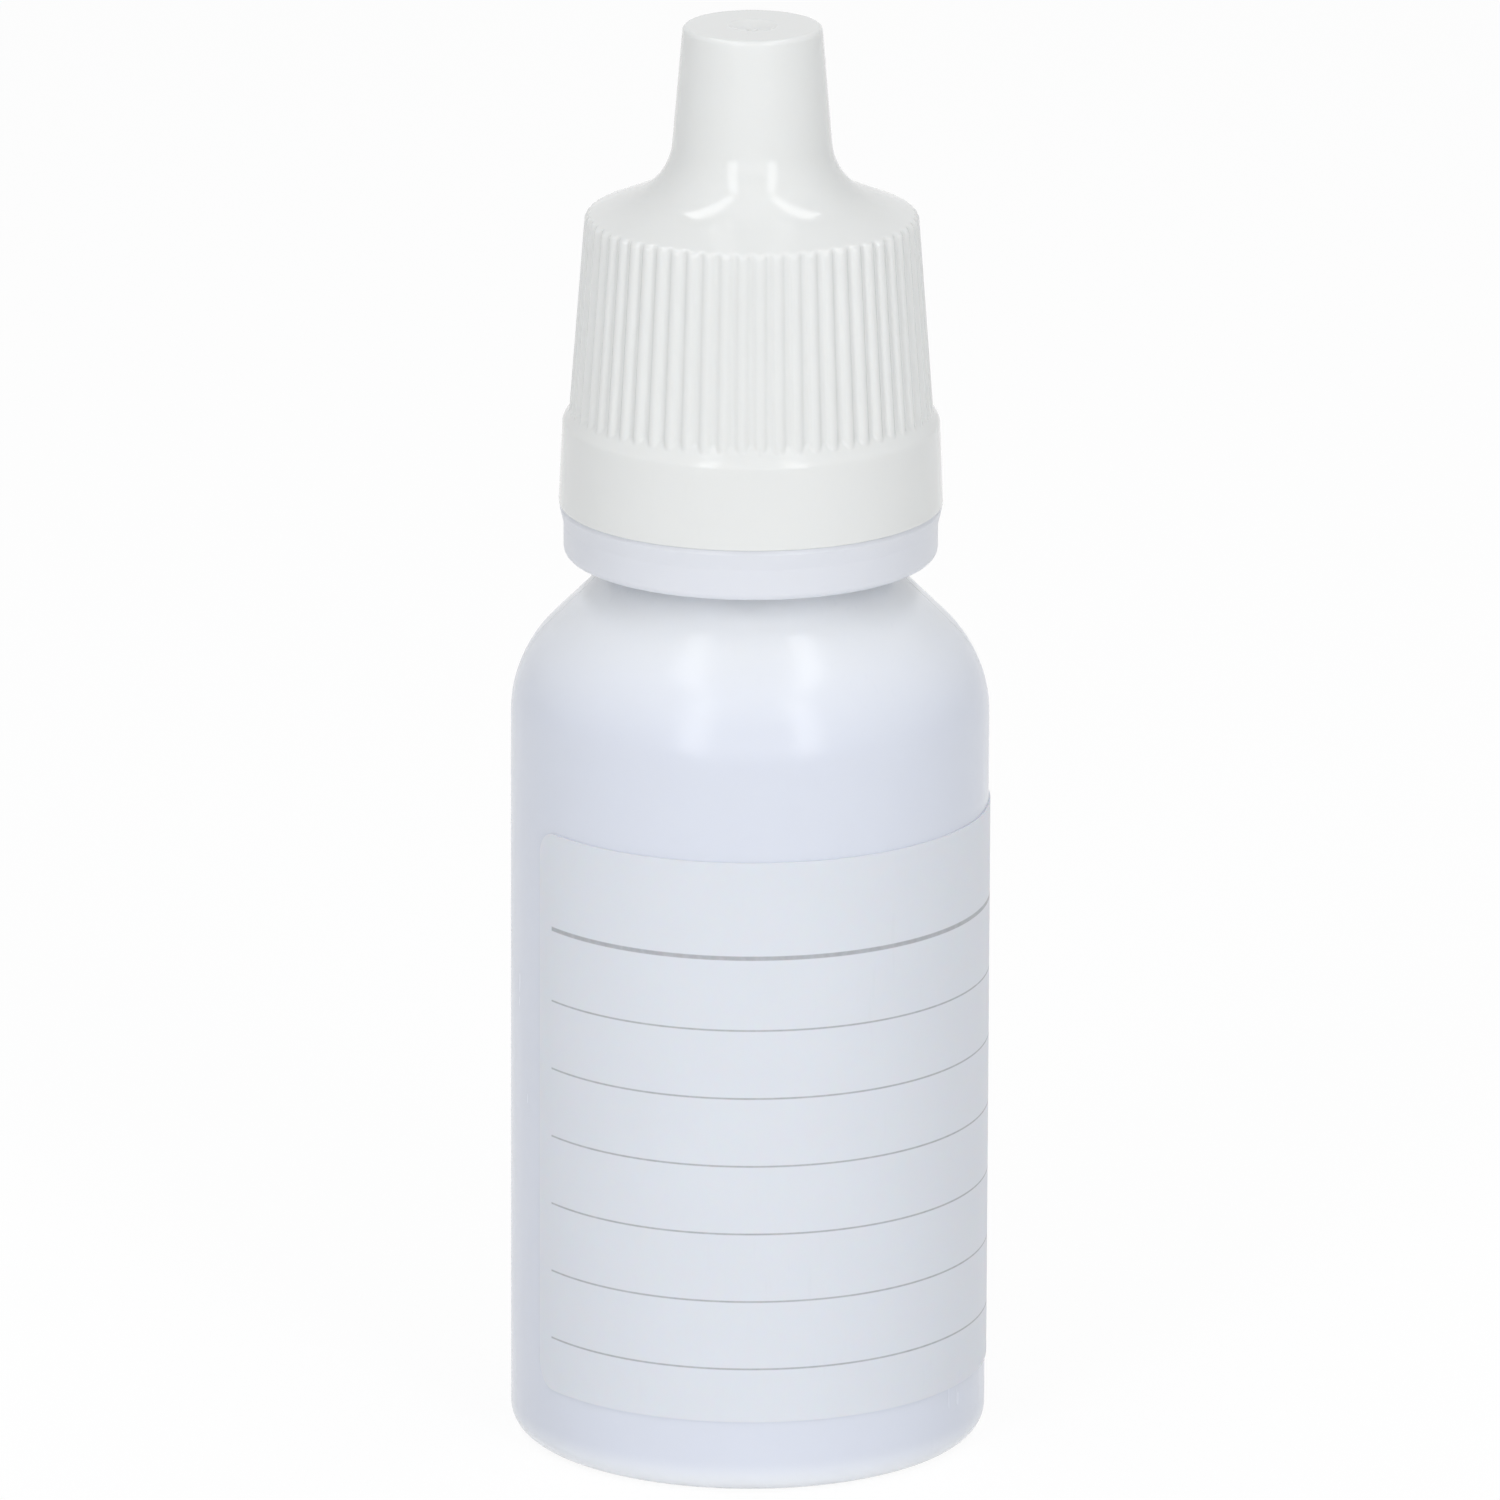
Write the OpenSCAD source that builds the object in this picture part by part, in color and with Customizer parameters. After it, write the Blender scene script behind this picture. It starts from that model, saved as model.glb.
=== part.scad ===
// Eye drop bottle: a squeezable bottle with a pressed-in dropper, a long-nosed
// ribbed screw cap, the tamper-evident ring under the cap and a film label.
// It stands on z = 0 with its axis on z. The front of the label faces -y.

/* [Bottle] */
// Diameter of the bottle
body_d = 22.4; // [20:0.2:28]
// Height of the straight wall, up to where the shoulder starts to curve
body_h = 34.95; // [24:0.05:60]
// Wall of the bottle
bottle_wall = 0.9; // [0.6:0.1:1.2]
// Radius of the curve between the wall and the shoulder
shoulder_round = 6; // [3.5:0.1:6.5]
// Slope of the shoulder under the neck, in degrees
shoulder_slope = 45; // [35:1:52]
// Radius of the curve round the foot
foot_round = 1.1; // [0.6:0.1:1.6]
// Width of the flat ring that the bottle stands on
foot_w = 1.2; // [0.6:0.1:2]
// Height of the hollow under the bottle
push_up = 0.7; // [0.3:0.1:1.2]
// Radius of the inner corner between wall and floor
floor_round = 1.3; // [0.8:0.1:2]

/* [Neck] */
// Outer diameter of the neck, under its thread
neck_d = 12.4; // [12:0.1:12.8]
// Bore of the neck
neck_bore_d = 10.4; // [9.6:0.1:11]
// Height of the neck above the shoulder
neck_h = 13.85; // [12:0.05:18]
// Diameter of the bead that holds the tamper ring down
bead_d = 14.4; // [13.8:0.1:14.6]
// Height of the bead's upright edge
bead_edge = 0.35; // [0.2:0.05:0.6]
// Height of the ramp on top of the bead
bead_ramp = 0.9; // [0.5:0.1:1.4]
// Radius of the neck's top outer edge
neck_round = 0.25; // [0.1:0.05:0.4]

/* [Dropper insert] */
// Thickness of the flange that sits on the neck
flange_t = 1.0; // [0.7:0.1:1.4]
// Setback of the flange from the neck's outer wall
flange_inset = 0.1; // [0:0.05:0.3]
// Length of the plug inside the neck
plug_h = 5.5; // [4:0.5:8]
// Wall of the plug
plug_wall = 0.75; // [0.5:0.05:1]
// Gap between the plug's sealing beads and the bore
plug_fit = 0.02; // [0.01:0.01:0.05]
// Height of each sealing bead above the plug's wall
plug_bead = 0.14; // [0.08:0.02:0.2]
// Height of the nozzle above the flange
nozzle_h = 8.05; // [6:0.05:12]
// Radius of the nozzle where it meets the flange
nozzle_base_r = 2.3; // [2:0.05:2.5]
// Radius of the nozzle at its tip
nozzle_tip_r = 1.8; // [1.6:0.05:1.95]
// Radius of the tip's rounded edge
tip_round = 0.5; // [0.3:0.05:0.6]
// Radius of the hole that the drops come from
drop_hole_r = 0.42; // [0.38:0.02:0.5]
// Radius of the cup round the drop hole
drop_cup_r = 0.95; // [0.8:0.05:1]
// Depth of that cup
drop_cup_h = 0.65; // [0.4:0.05:0.9]

/* [Screw cap] */
// Bore of the cap over the neck's thread
cap_bore_d = 14.1; // [14:0.1:14.6]
// Wall of the cap's skirt at its top corner
skirt_wall = 0.72; // [0.7:0.01:1]
// Draft of the ribbed skirt, in degrees
skirt_draft = 4.4; // [2:0.1:5]
// Number of grip ribs
grip_ribs = 60; // [40:2:64]
// Radius of each half-round rib and of its ball end
rib_round = 0.36; // [0.32:0.01:0.38]
// Height of the ribs above the valleys between them
rib_h = 0.18; // [0.12:0.02:0.24]
// Height of the smooth band under the ribs
band_h = 3.8; // [2.5:0.05:5]
// Step from the skirt out to the band
band_step = 0.36; // [0.28:0.01:0.5]
// Height over which that step curves out
step_h = 1.12; // [0.5:0.01:1.2]
// Draft of the band, in degrees
band_draft = 2.4; // [1:0.1:3]
// Slope of the cap's shoulder, in degrees
roof_slope = 22.5; // [18:0.5:28]
// Thickness of the cap's shoulder
roof_t = 1.08; // [0.8:0.02:1.4]
// Room between the dropper's flange and the cap's shoulder
roof_room = 0.7; // [0.5:0.05:0.9]
// Radius of the cap's top corner, between the ribs
corner_round = 0.2; // [0.1:0.02:0.3]
// Radius of the nose at its top
nose_top_r = 3.24; // [3.2:0.01:3.5]
// Draft of the nose, in degrees
nose_draft = 4.85; // [3.5:0.05:5.5]
// Wall of the nose
nose_wall = 0.88; // [0.7:0.02:0.95]
// Thickness of the nose's closed end
nose_roof_t = 1.5; // [1.1:0.1:2]
// Radius of the hollow curve between the nose and the shoulder
nose_fillet = 3.05; // [2:0.05:3.2]
// Radius of the nose's top edge
nose_round = 0.25; // [0.1:0.05:0.5]
// Radius of the dimple in the nose's end
dimple_r = 1.15; // [0.8:0.05:1.5]
// Depth of the dimple
dimple_h = 0.28; // [0.1:0.02:0.4]
// Radius of the sealing pin at its end
pin_r = 0.28; // [0.2:0.02:0.3]
// Gap between the sealing pin and the dropper's tip
pin_gap = 0.1; // [0.06:0.01:0.12]

/* [Tamper ring] */
// Height of the ring
ring_h = 2.37; // [2:0.01:2.8]
// Width of the slit between the ring and the cap
slit_h = 0.12; // [0.08:0.01:0.2]
// Setback of the ring's wall from the cap's lip
ring_inset = 0.23; // [0.1:0.01:0.3]
// Height of the slanted edge on top of the ring
ring_bevel = 0.85; // [0.4:0.05:1]
// Radius of the ring's lower edge
ring_round = 0.4; // [0.15:0.05:0.5]
// Number of bridges that join the ring to the cap
bridges = 8; // [4:2:12]
// Width of each bridge
bridge_w = 0.6; // [0.4:0.1:1]
// Gap between the ring and the shoulder under it
ring_gap = 0.2; // [0.15:0.05:0.3]
// Gap round the bead, inside the ring and the band
bead_gap = 0.35; // [0.3:0.05:0.4]
// Number of hooks that catch under the bead
hooks = 8; // [4:1:12]
// Height of the hooks
hook_h = 0.75; // [0.5:0.05:0.9]
// Gap between the hooks and the bead over them
hook_gap = 0.3; // [0.25:0.05:0.4]
// Width of the slots between the hooks
hook_slot = 1.6; // [1:0.1:2.2]

/* [Label] */
// Length of the label round the bottle
label_w = 60; // [30:1:60]
// Height of the label
label_h = 27.2; // [15:0.1:27.4]
// Height of the label's lower edge above the table
label_z = 3.6; // [2:0.1:6]
// Thickness of the film
label_t = 0.06; // [0.05:0.01:0.15]
// Film of adhesive under the label
label_glue = 0.02; // [0.02:0.01:0.05]
// Radius of the label's corners
label_corner = 1.2; // [0.5:0.1:3]
// Direction of the label's left end, in degrees from +x
label_start = 210; // [0:5:355]

/* [Hidden] */
$fn = 96;
// Number of chords in each curve of an outline
arc_steps = 10;
// Reach of every cut past the face that it opens
overrun = 0.3;

body_r = body_d / 2;
neck_r = neck_d / 2;
neck_bore_r = neck_bore_d / 2;
bead_r = bead_d / 2;

// The shoulder is a curve that runs on into a cone, inside and outside alike
curve_c = [body_r - shoulder_round, body_h];
curve_end = 90 - shoulder_slope;
inner_round = shoulder_round - bottle_wall;
cone_foot = on_arc(curve_c, shoulder_round, curve_end);
inner_cone_foot = on_arc(curve_c, inner_round, curve_end);
neck_foot_z = cone_foot.y + (cone_foot.x - neck_r) * tan(shoulder_slope);
bore_foot_z = inner_cone_foot.y + (inner_cone_foot.x - neck_bore_r) * tan(shoulder_slope);
neck_top_z = neck_foot_z + neck_h;

// The ring lies over the shoulder, and the cap's lip over the ring
ring_z = neck_foot_z + ring_gap;
ring_top_z = ring_z + ring_h;
lip_z = ring_top_z + slit_h;
bead_z = lip_z;
hook_top_z = bead_z - hook_gap;
hook_r = neck_r + bead_gap;
ring_bore_r = bead_r + bead_gap;

// The dropper's flange sits on the neck, and its tip ends inside the nose
flange_top_z = neck_top_z + flange_t;
tip_z = flange_top_z + nozzle_h;
nozzle_fillet = flange_t;
plug_r = neck_bore_r - plug_fit - plug_bead;
plug_bore_r = plug_r - plug_wall;
nozzle_slope = (nozzle_base_r - nozzle_tip_r) / nozzle_h;
cup_slope = (drop_cup_r - drop_hole_r) / drop_cup_h;
hole_foot_z = tip_z - 2 * drop_cup_h;

// The cap closes down on the flange
cap_bore_r = cap_bore_d / 2;
seat_gap = pin_gap;
chamber_top_z = flange_top_z + roof_room;
skirt_r = cap_bore_r + skirt_wall;
corner_z = chamber_top_z + roof_t / cos(roof_slope) - skirt_wall * tan(roof_slope);
band_top_z = lip_z + band_h;
grip_z = band_top_z + step_h;
grip_r = skirt_at(grip_z);
band_top_r = grip_r + band_step;
lip_r = band_top_r + band_h * tan(band_draft);
cavity_top_z = tip_z + roof_room + seat_gap + pin_r;
nose_top_z = cavity_top_z + nose_roof_t;

// Direction that each sloping wall of the cap faces
skirt_face = [cos(skirt_draft), sin(skirt_draft)];
roof_face = [sin(roof_slope), cos(roof_slope)];
nose_face = [cos(nose_draft), sin(nose_draft)];
top_face = [0, 1];

function on_arc(c, r, a) = c + r * [cos(a), sin(a)];

function arc(c, r, from, to) =
    [for (i = [0:arc_steps]) on_arc(c, r, from + (to - from) * i / arc_steps)];

// Centre of the curve of radius r that rounds the corner p between two faces
function round_c(p, r, face_a, face_b) =
    p - r * (face_a + face_b) / (1 + face_a * face_b);

// Half a wave between two points, level in neither and upright in both
function ease(from, to) =
    [for (i = [0:arc_steps])
        [from.x + (to.x - from.x) * (1 - cos(180 * i / arc_steps)) / 2,
         from.y + (to.y - from.y) * i / arc_steps]];

// Radius of the skirt's rib crests, the nose and the nozzle at a height
function skirt_at(z) = skirt_r + (corner_z - z) * tan(skirt_draft);
function nose_at(z) = nose_top_r + (nose_top_z - z) * tan(nose_draft);
function nozzle_at(z) = nozzle_tip_r + (tip_z - z) * nozzle_slope;
function chamber_at(r) = chamber_top_z + (cap_bore_r - r) * tan(roof_slope);

// Height at which a wall of the cap meets the shoulder's slope. The wall has
// the radius r at z = 0 and leans in by its draft
function roof_meets(r, draft) =
    (corner_z + (skirt_r - r) * tan(roof_slope)) / (1 - tan(draft) * tan(roof_slope));

module bottle() {
    recess_r = body_r - foot_round - foot_w;
    inner_r = body_r - bottle_wall;
    floor_z = push_up + bottle_wall;
    color("#e3e7f1")
    rotate_extrude()
    polygon(concat(
        [[0, push_up], [recess_r - push_up, push_up], [recess_r, 0]],
        arc([body_r - foot_round, foot_round], foot_round, -90, 0),
        arc(curve_c, shoulder_round, 0, curve_end),
        [[neck_r, neck_foot_z]],
        [[neck_r, bead_z], [bead_r, bead_z], [bead_r, bead_z + bead_edge],
         [neck_r, bead_z + bead_edge + bead_ramp]],
        arc([neck_r - neck_round, neck_top_z - neck_round], neck_round, 0, 90),
        [[neck_bore_r, neck_top_z], [neck_bore_r, bore_foot_z]],
        arc(curve_c, inner_round, curve_end, 0),
        arc([inner_r - floor_round, bottle_wall + floor_round], floor_round, 0, -90),
        [[recess_r - push_up, floor_z], [0, floor_z]]));
}

module dropper_insert() {
    flange_r = neck_r - flange_inset;
    plug_end_z = neck_top_z - plug_h;
    lead_in = plug_wall / 2;
    bead_len = 2 * plug_bead;
    bead_shares = [0.3, 0.7];
    bead_levels = [for (share = bead_shares) neck_top_z - share * plug_h];
    base_r = nozzle_at(flange_top_z + nozzle_fillet);
    channel_r = nozzle_tip_r - 2 * drop_hole_r;
    color("#f1f3f6")
    rotate_extrude()
    polygon(concat(
        [[plug_bore_r, plug_end_z], [plug_r - lead_in, plug_end_z],
         [plug_r, plug_end_z + lead_in]],
        [for (z = [bead_levels[1], bead_levels[0]])
            for (i = [0:arc_steps])
                [plug_r + plug_bead * sin(180 * i / arc_steps),
                 z + bead_len * (2 * i / arc_steps - 1)]],
        [[plug_r, neck_top_z], [flange_r, neck_top_z], [flange_r, flange_top_z]],
        arc([base_r + nozzle_fillet, flange_top_z + nozzle_fillet], nozzle_fillet, 270, 180),
        arc([nozzle_tip_r - tip_round, tip_z - tip_round], tip_round, 0, 90),
        [[drop_cup_r, tip_z], [drop_hole_r, tip_z - drop_cup_h],
         [drop_hole_r, hole_foot_z],
         [channel_r, hole_foot_z - channel_r],
         [channel_r + nozzle_fillet / 2, flange_top_z],
         [plug_bore_r, neck_top_z - nozzle_fillet]]));
}

module ring_section() {
    wall_r = lip_r - ring_inset;
    polygon(concat(
        [[ring_bore_r, ring_z]],
        arc([wall_r - ring_round, ring_z + ring_round], ring_round, -90, 0),
        [[wall_r, ring_top_z - ring_bevel], [lip_r - ring_inset / 4, ring_top_z - slit_h],
         [lip_r - ring_inset / 2, ring_top_z], [ring_bore_r, ring_top_z]]));
}

module hook_section() {
    wall_mid_r = (ring_bore_r + lip_r - ring_inset) / 2;
    foot_z = ring_z + ring_round;
    polygon([[wall_mid_r, foot_z], [ring_bore_r, foot_z], [hook_r, hook_top_z - hook_h],
        [hook_r, hook_top_z], [wall_mid_r, hook_top_z]]);
}

module tamper_ring() {
    bridge_r = (ring_bore_r + lip_r) / 2;
    bridge_t = bridge_w;
    slot_reach = ring_bore_r - hook_r;
    color("#e4e8f0")
    union() {
        rotate_extrude() ring_section();
        difference() {
            rotate_extrude() hook_section();
            for (i = [0:hooks - 1])
                rotate(360 * i / hooks)
                translate([hook_r - slot_reach, -hook_slot / 2, ring_z])
                cube([2 * slot_reach, hook_slot, ring_h]);
        }
        for (i = [0:bridges - 1])
            rotate(360 * i / bridges)
            translate([bridge_r, -bridge_w / 2, ring_top_z - overrun])
            cube([bridge_t, bridge_w, slit_h + overrun]);
    }
}

// The cap's outside, from the lip up to the middle of the nose's end
function cap_outside() =
    let (
        valley_z = roof_meets(skirt_at(0) - rib_h, skirt_draft),
        valley_top = [skirt_at(valley_z) - rib_h, valley_z],
        nose_foot_z = roof_meets(nose_at(0), nose_draft),
        nose_foot = [nose_at(nose_foot_z), nose_foot_z],
        dimple_round = (dimple_r * dimple_r + dimple_h * dimple_h) / (2 * dimple_h),
        dimple_half = asin(dimple_r / dimple_round)
    )
    concat(
        [[lip_r, lip_z]],
        ease([band_top_r, band_top_z], [grip_r - rib_h, grip_z]),
        arc(round_c(valley_top, corner_round, skirt_face, roof_face),
            corner_round, skirt_draft, 90 - roof_slope),
        arc(round_c(nose_foot, -nose_fillet, nose_face, roof_face),
            nose_fillet, 270 - roof_slope, 180 + nose_draft),
        arc(round_c([nose_top_r, nose_top_z], nose_round, nose_face, top_face),
            nose_round, nose_draft, 90),
        arc([0, nose_top_z - dimple_h + dimple_round], dimple_round, 270 + dimple_half, 270));

// The cap's inside, from the end of the sealing pin down to the lip
function cap_inside() =
    let (
        pin_root_r = drop_cup_r - pin_gap,
        pin_seat_z = tip_z - drop_cup_h + pin_gap,
        pin_end_z = pin_seat_z - drop_cup_h,
        cavity_foot_r = nose_at(chamber_top_z) - nose_wall,
        seal_in_r = plug_bore_r,
        seal_out_r = neck_bore_r,
        seal_end_z = flange_top_z + seat_gap,
        seal_tip = (seal_out_r - seal_in_r) / 4
    )
    [
        [0, pin_end_z],
        [pin_r * 2 / 3, pin_end_z],
        [pin_r, pin_end_z + pin_r],
        [pin_r, pin_seat_z],
        [pin_root_r, pin_seat_z + (pin_root_r - pin_r) / cup_slope],
        [pin_root_r, cavity_top_z],
        [nose_at(cavity_top_z) - nose_wall, cavity_top_z],
        [cavity_foot_r, chamber_at(cavity_foot_r)],
        [seal_in_r, chamber_at(seal_in_r)],
        [seal_in_r + seal_tip, seal_end_z],
        [seal_out_r - seal_tip, seal_end_z],
        [seal_out_r, chamber_at(seal_out_r)],
        [cap_bore_r, chamber_top_z],
        [cap_bore_r, grip_z],
        [ring_bore_r, band_top_z],
        [ring_bore_r, lip_z]
    ];

// A half-round rib, which ends in a ball just under the shoulder's slope
module grip_rib() {
    sink = rib_h / 10;
    end_c = round_c([skirt_r - sink, corner_z - sink], rib_round, skirt_face, roof_face);
    rib_len = (end_c.y - band_top_z) / cos(skirt_draft);
    translate([end_c.x, 0, end_c.y]) {
        sphere(r = rib_round);
        rotate([0, 180 - skirt_draft, 0])
        cylinder(r = rib_round, h = rib_len);
    }
}

module screw_cap() {
    rib_pitch = 360 / grip_ribs;
    color("#eaecec")
    union() {
        rotate_extrude() polygon(concat(cap_outside(), cap_inside()));
        for (i = [0:grip_ribs - 1])
            rotate((i + 0.5) * rib_pitch)
            grip_rib();
    }
}

// A block with a hollow curve, which rounds the corner of the film that lies
// at y = 0 and z = 0 and spreads to +y and -z. The curve runs a little past
// the film's edges, so that it crosses them cleanly
module corner_cut(reach) {
    rotate([90, 0, 90])
    linear_extrude(reach)
    polygon(concat(
        [[-overrun, overrun], [-overrun, -label_corner]],
        arc([label_corner, -label_corner], label_corner + label_glue, 180, 90),
        [[label_corner, overrun]]));
}

module label() {
    film_r = body_r + label_glue;
    sweep = label_w / (PI * body_d) * 360;
    reach = 2 * overrun;
    color("#e1e5eb")
    difference() {
        rotate(label_start)
        rotate_extrude(angle = sweep)
        translate([film_r, label_z])
        square([label_t, label_h]);
        for (end = [0, 1])
            for (edge = [0, 1])
                rotate(label_start + end * sweep)
                translate([film_r - overrun, 0, label_z + (1 - edge) * label_h])
                mirror([0, end, 0])
                mirror([0, 0, edge])
                corner_cut(reach);
    }
}

bottle();
dropper_insert();
tamper_ring();
screw_cap();
label();
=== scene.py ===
import math

import bmesh
import bpy
from bpy.props import (
    FloatProperty,
    FloatVectorProperty,
    IntProperty,
    PointerProperty,
)
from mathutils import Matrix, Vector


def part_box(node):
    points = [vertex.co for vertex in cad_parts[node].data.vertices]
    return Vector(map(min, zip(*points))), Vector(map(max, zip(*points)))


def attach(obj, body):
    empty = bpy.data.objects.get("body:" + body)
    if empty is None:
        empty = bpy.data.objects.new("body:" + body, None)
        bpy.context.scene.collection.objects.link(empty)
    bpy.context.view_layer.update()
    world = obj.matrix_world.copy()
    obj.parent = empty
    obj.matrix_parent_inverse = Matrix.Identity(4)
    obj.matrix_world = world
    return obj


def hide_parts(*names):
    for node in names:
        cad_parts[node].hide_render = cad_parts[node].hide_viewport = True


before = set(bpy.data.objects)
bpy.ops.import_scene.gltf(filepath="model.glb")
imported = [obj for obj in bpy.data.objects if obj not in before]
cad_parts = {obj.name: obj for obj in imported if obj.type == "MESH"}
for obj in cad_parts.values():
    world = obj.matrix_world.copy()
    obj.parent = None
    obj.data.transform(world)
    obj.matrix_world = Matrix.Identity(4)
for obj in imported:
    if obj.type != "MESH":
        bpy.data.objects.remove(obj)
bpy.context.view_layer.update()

bl_info = {
    "name": "Eye Drop Bottle",
    "version": (1, 0, 0),
    "blender": (4, 5, 0),
    "location": "3D View > Sidebar > Eye Drops",
    "description": "A squeeze bottle with its dropper, tamper ring, long-nosed ribbed cap and film label",
    "category": "Add Mesh",
}

MM = 0.001
BOTTLE_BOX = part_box("bottle")
RING_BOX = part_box("tamper_ring")
CAP_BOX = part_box("screw_cap")
AXIS = (0.0, 0.0, 1.0)
MIDDLE = (0.0, 0.0, 0.0)
# Points closer than this are one point
SAME = 0.0005 * MM

# Radii of small moulded edges that no setting names, from a hairline to a full curve
HAIR_EDGE = 0.03 * MM
CRISP_EDGE = 0.05 * MM
SHARP_EDGE = 0.08 * MM
THIN_EDGE = 0.1 * MM
FINE_EDGE = 0.12 * MM
EASED_EDGE = 0.15 * MM
SMALL_EDGE = 0.2 * MM
SOFT_EDGE = 0.25 * MM
WIDE_EDGE = 0.3 * MM
BROAD_EDGE = 0.4 * MM
FULL_EDGE = 0.5 * MM


# Settings


def length(name, description, millimetres, low=0.0):
    """A length that the sidebar shows in the scene's own unit."""
    return FloatProperty(
        name=name,
        description=description,
        default=millimetres * MM,
        min=low * MM,
        precision=5,
        subtype="DISTANCE",
        unit="LENGTH",
    )


def slope(name, description, degrees):
    """An angle, given in degrees."""
    return FloatProperty(
        name=name,
        description=description,
        default=math.radians(degrees),
        subtype="ANGLE",
        unit="ROTATION",
    )


def tint(name, description, colour):
    """A colour as the shaders take it."""
    return FloatVectorProperty(
        name=name,
        description=description,
        default=colour,
        min=0.0,
        max=1.0,
        size=3,
        subtype="COLOR",
    )


def amount(name, description, value, high=1.0):
    """A plain number from nothing to a highest value."""
    return FloatProperty(
        name=name, description=description, default=value, min=0.0, max=high
    )


class BottleSizes(bpy.types.PropertyGroup):
    body_radius: length(
        "Body radius", "Outer radius of the bottle", BOTTLE_BOX[1].x / MM
    )
    wall: length("Wall", "Thickness of the bottle's wall", 0.9)
    wall_top: length("Wall top", "Height at which the shoulder starts to curve", 34.95)
    shoulder_round: length(
        "Shoulder curve", "Radius between the wall and the shoulder", 6.0
    )
    shoulder_slope: slope("Shoulder slope", "Slope of the cone under the neck", 45)
    foot_round: length("Foot curve", "Radius round the foot", 1.1)
    foot_width: length("Foot ring", "Width of the ring that the bottle stands on", 1.2)
    foot_edge: length("Foot edge", "Radius inside the foot's ring", 0.35)
    push_up: length("Push-up", "Height of the hollow under the bottle", 0.7)
    push_up_round: length("Push-up curve", "Radius round that hollow", 1.2)
    pinch_length: length("Pinch line", "Length of the mould's pinch line", 12.0)
    pinch_height: length("Pinch height", "Height of the mould's pinch line", 0.12)
    pinch_sink: length("Pinch sink", "Depth of that line's root in the bottle", 0.02)
    floor_round: length("Floor curve", "Radius between the inner wall and floor", 1.3)
    neck_radius: length("Neck radius", "Outer radius of the neck", 6.2)
    neck_bore: length("Neck bore", "Inner radius of the neck", 5.2)
    neck_top: length("Neck top", "Height of the neck's rim", BOTTLE_BOX[1].z / MM)
    bead_radius: length("Bead radius", "Bead that holds the tamper ring down", 7.2)
    bead_edge: length("Bead edge", "Height of the bead's upright edge", 0.35)
    bead_height: length("Bead height", "Height of the bead with its slope", 1.25)
    thread_depth: length("Thread depth", "Height of the thread above the neck", 0.68)
    thread_drop: length("Thread start", "Distance of the thread's start from the rim", 8.2)
    thread_root: length("Thread root", "Width of the thread at its wall", 1.24)
    thread_crest: length("Thread crest", "Width of the thread at its top", 0.48)
    thread_round: length("Thread edge", "Radius of the thread's edges", 0.14)
    thread_sink: length("Thread sink", "Depth of the thread's root in its wall", 0.05)
    thread_lead: length("Thread lead", "Rise of the thread in one turn", 3.0)
    thread_turns: FloatProperty(
        name="Thread turns", description="Turns of thread on the neck", default=1.9
    )


class DropperSizes(bpy.types.PropertyGroup):
    flange: length("Flange", "Thickness of the flange on the neck's rim", 1.0)
    flange_inset: length("Flange inset", "Setback of the flange", 0.1)
    plug_height: length("Plug", "Length of the plug inside the neck", 5.5)
    plug_wall: length("Plug wall", "Wall of the plug", 0.75)
    plug_bead: length("Plug bead", "Height of each sealing bead", 0.14)
    plug_gap: length("Plug gap", "Gap between those beads and the neck", 0.02)
    nozzle_height: length("Nozzle", "Height of the nozzle above the flange", 8.05)
    nozzle_base: length("Nozzle base", "Radius of the nozzle at its foot", 2.3)
    nozzle_tip: length("Nozzle tip", "Radius of the nozzle at its tip", 1.8)
    nozzle_round: length("Nozzle edge", "Radius of the nozzle's top edge", 0.5)
    drop_hole: length("Drop hole", "Radius of the hole", 0.42)
    drop_cup: length("Drop cup", "Radius of the cup round the hole", 0.95)
    drop_cup_depth: length("Cup depth", "Depth of that cup", 0.65)


class CapSizes(bpy.types.PropertyGroup):
    bore: length("Bore", "Inner radius of the cap over the thread", 7.05)
    skirt_wall: length("Skirt wall", "Wall at the top corner", 0.72)
    skirt_draft: slope("Skirt draft", "Draft of the ribbed skirt", 4.4)
    grip_ribs: IntProperty(
        name="Grip ribs", description="Number of grip ribs", default=60
    )
    rib_round: length("Rib curve", "Radius of each half-round rib", 0.36)
    rib_height: length("Rib height", "Height of the ribs above the grooves", 0.18)
    band_height: length("Band", "Height of the smooth band", 3.8)
    band_step: length("Band step", "Step from the skirt out to the band", 0.36)
    step_height: length("Step height", "Height over which the step curves out", 1.12)
    band_draft: slope("Band draft", "Draft of the smooth band", 2.4)
    lip_flat: length("Lip", "Width of the lip's flat lower edge", 0.3)
    lip_round: length("Lip edge", "Radius of the lip's outer edge", 0.06)
    roof_slope: slope("Roof slope", "Slope of the cap's shoulder", 22.5)
    roof: length("Roof", "Thickness of the cap's shoulder", 1.08)
    roof_room: length("Roof room", "Room between the dropper and the roof", 0.7)
    corner_round: length("Groove end", "Radius at the grooves' upper end", 0.2)
    nose_radius: length("Nose radius", "Radius of the nose at its end", 3.24)
    nose_draft: slope("Nose draft", "Draft of the nose", 4.85)
    nose_wall: length("Nose wall", "Wall of the nose", 0.88)
    nose_top: length("Nose top", "Height of the nose's end", CAP_BOX[1].z / MM)
    nose_fillet: length("Nose foot", "Hollow curve at the nose's foot", 3.05)
    nose_round: length("Nose edge", "Radius of the nose's top edge", 0.25)
    dimple: length("Dimple", "Radius of the dimple in the nose's end", 1.15)
    dimple_depth: length("Dimple depth", "Depth of that dimple", 0.28)
    gate: length("Gate stub", "Radius of the stub that the mould's gate leaves", 0.22)
    gate_height: length("Gate height", "Height of that stub", 0.1)
    pin: length("Sealing pin", "Radius of the sealing pin's end", 0.28)
    seat: length("Seat gap", "Gap between the cap and the dropper", 0.1)
    thread_depth: length("Thread depth", "Height of the thread in the bore", 0.62)
    thread_under: length("Thread offset", "How far it lies under the neck's thread", 1.42)


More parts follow.
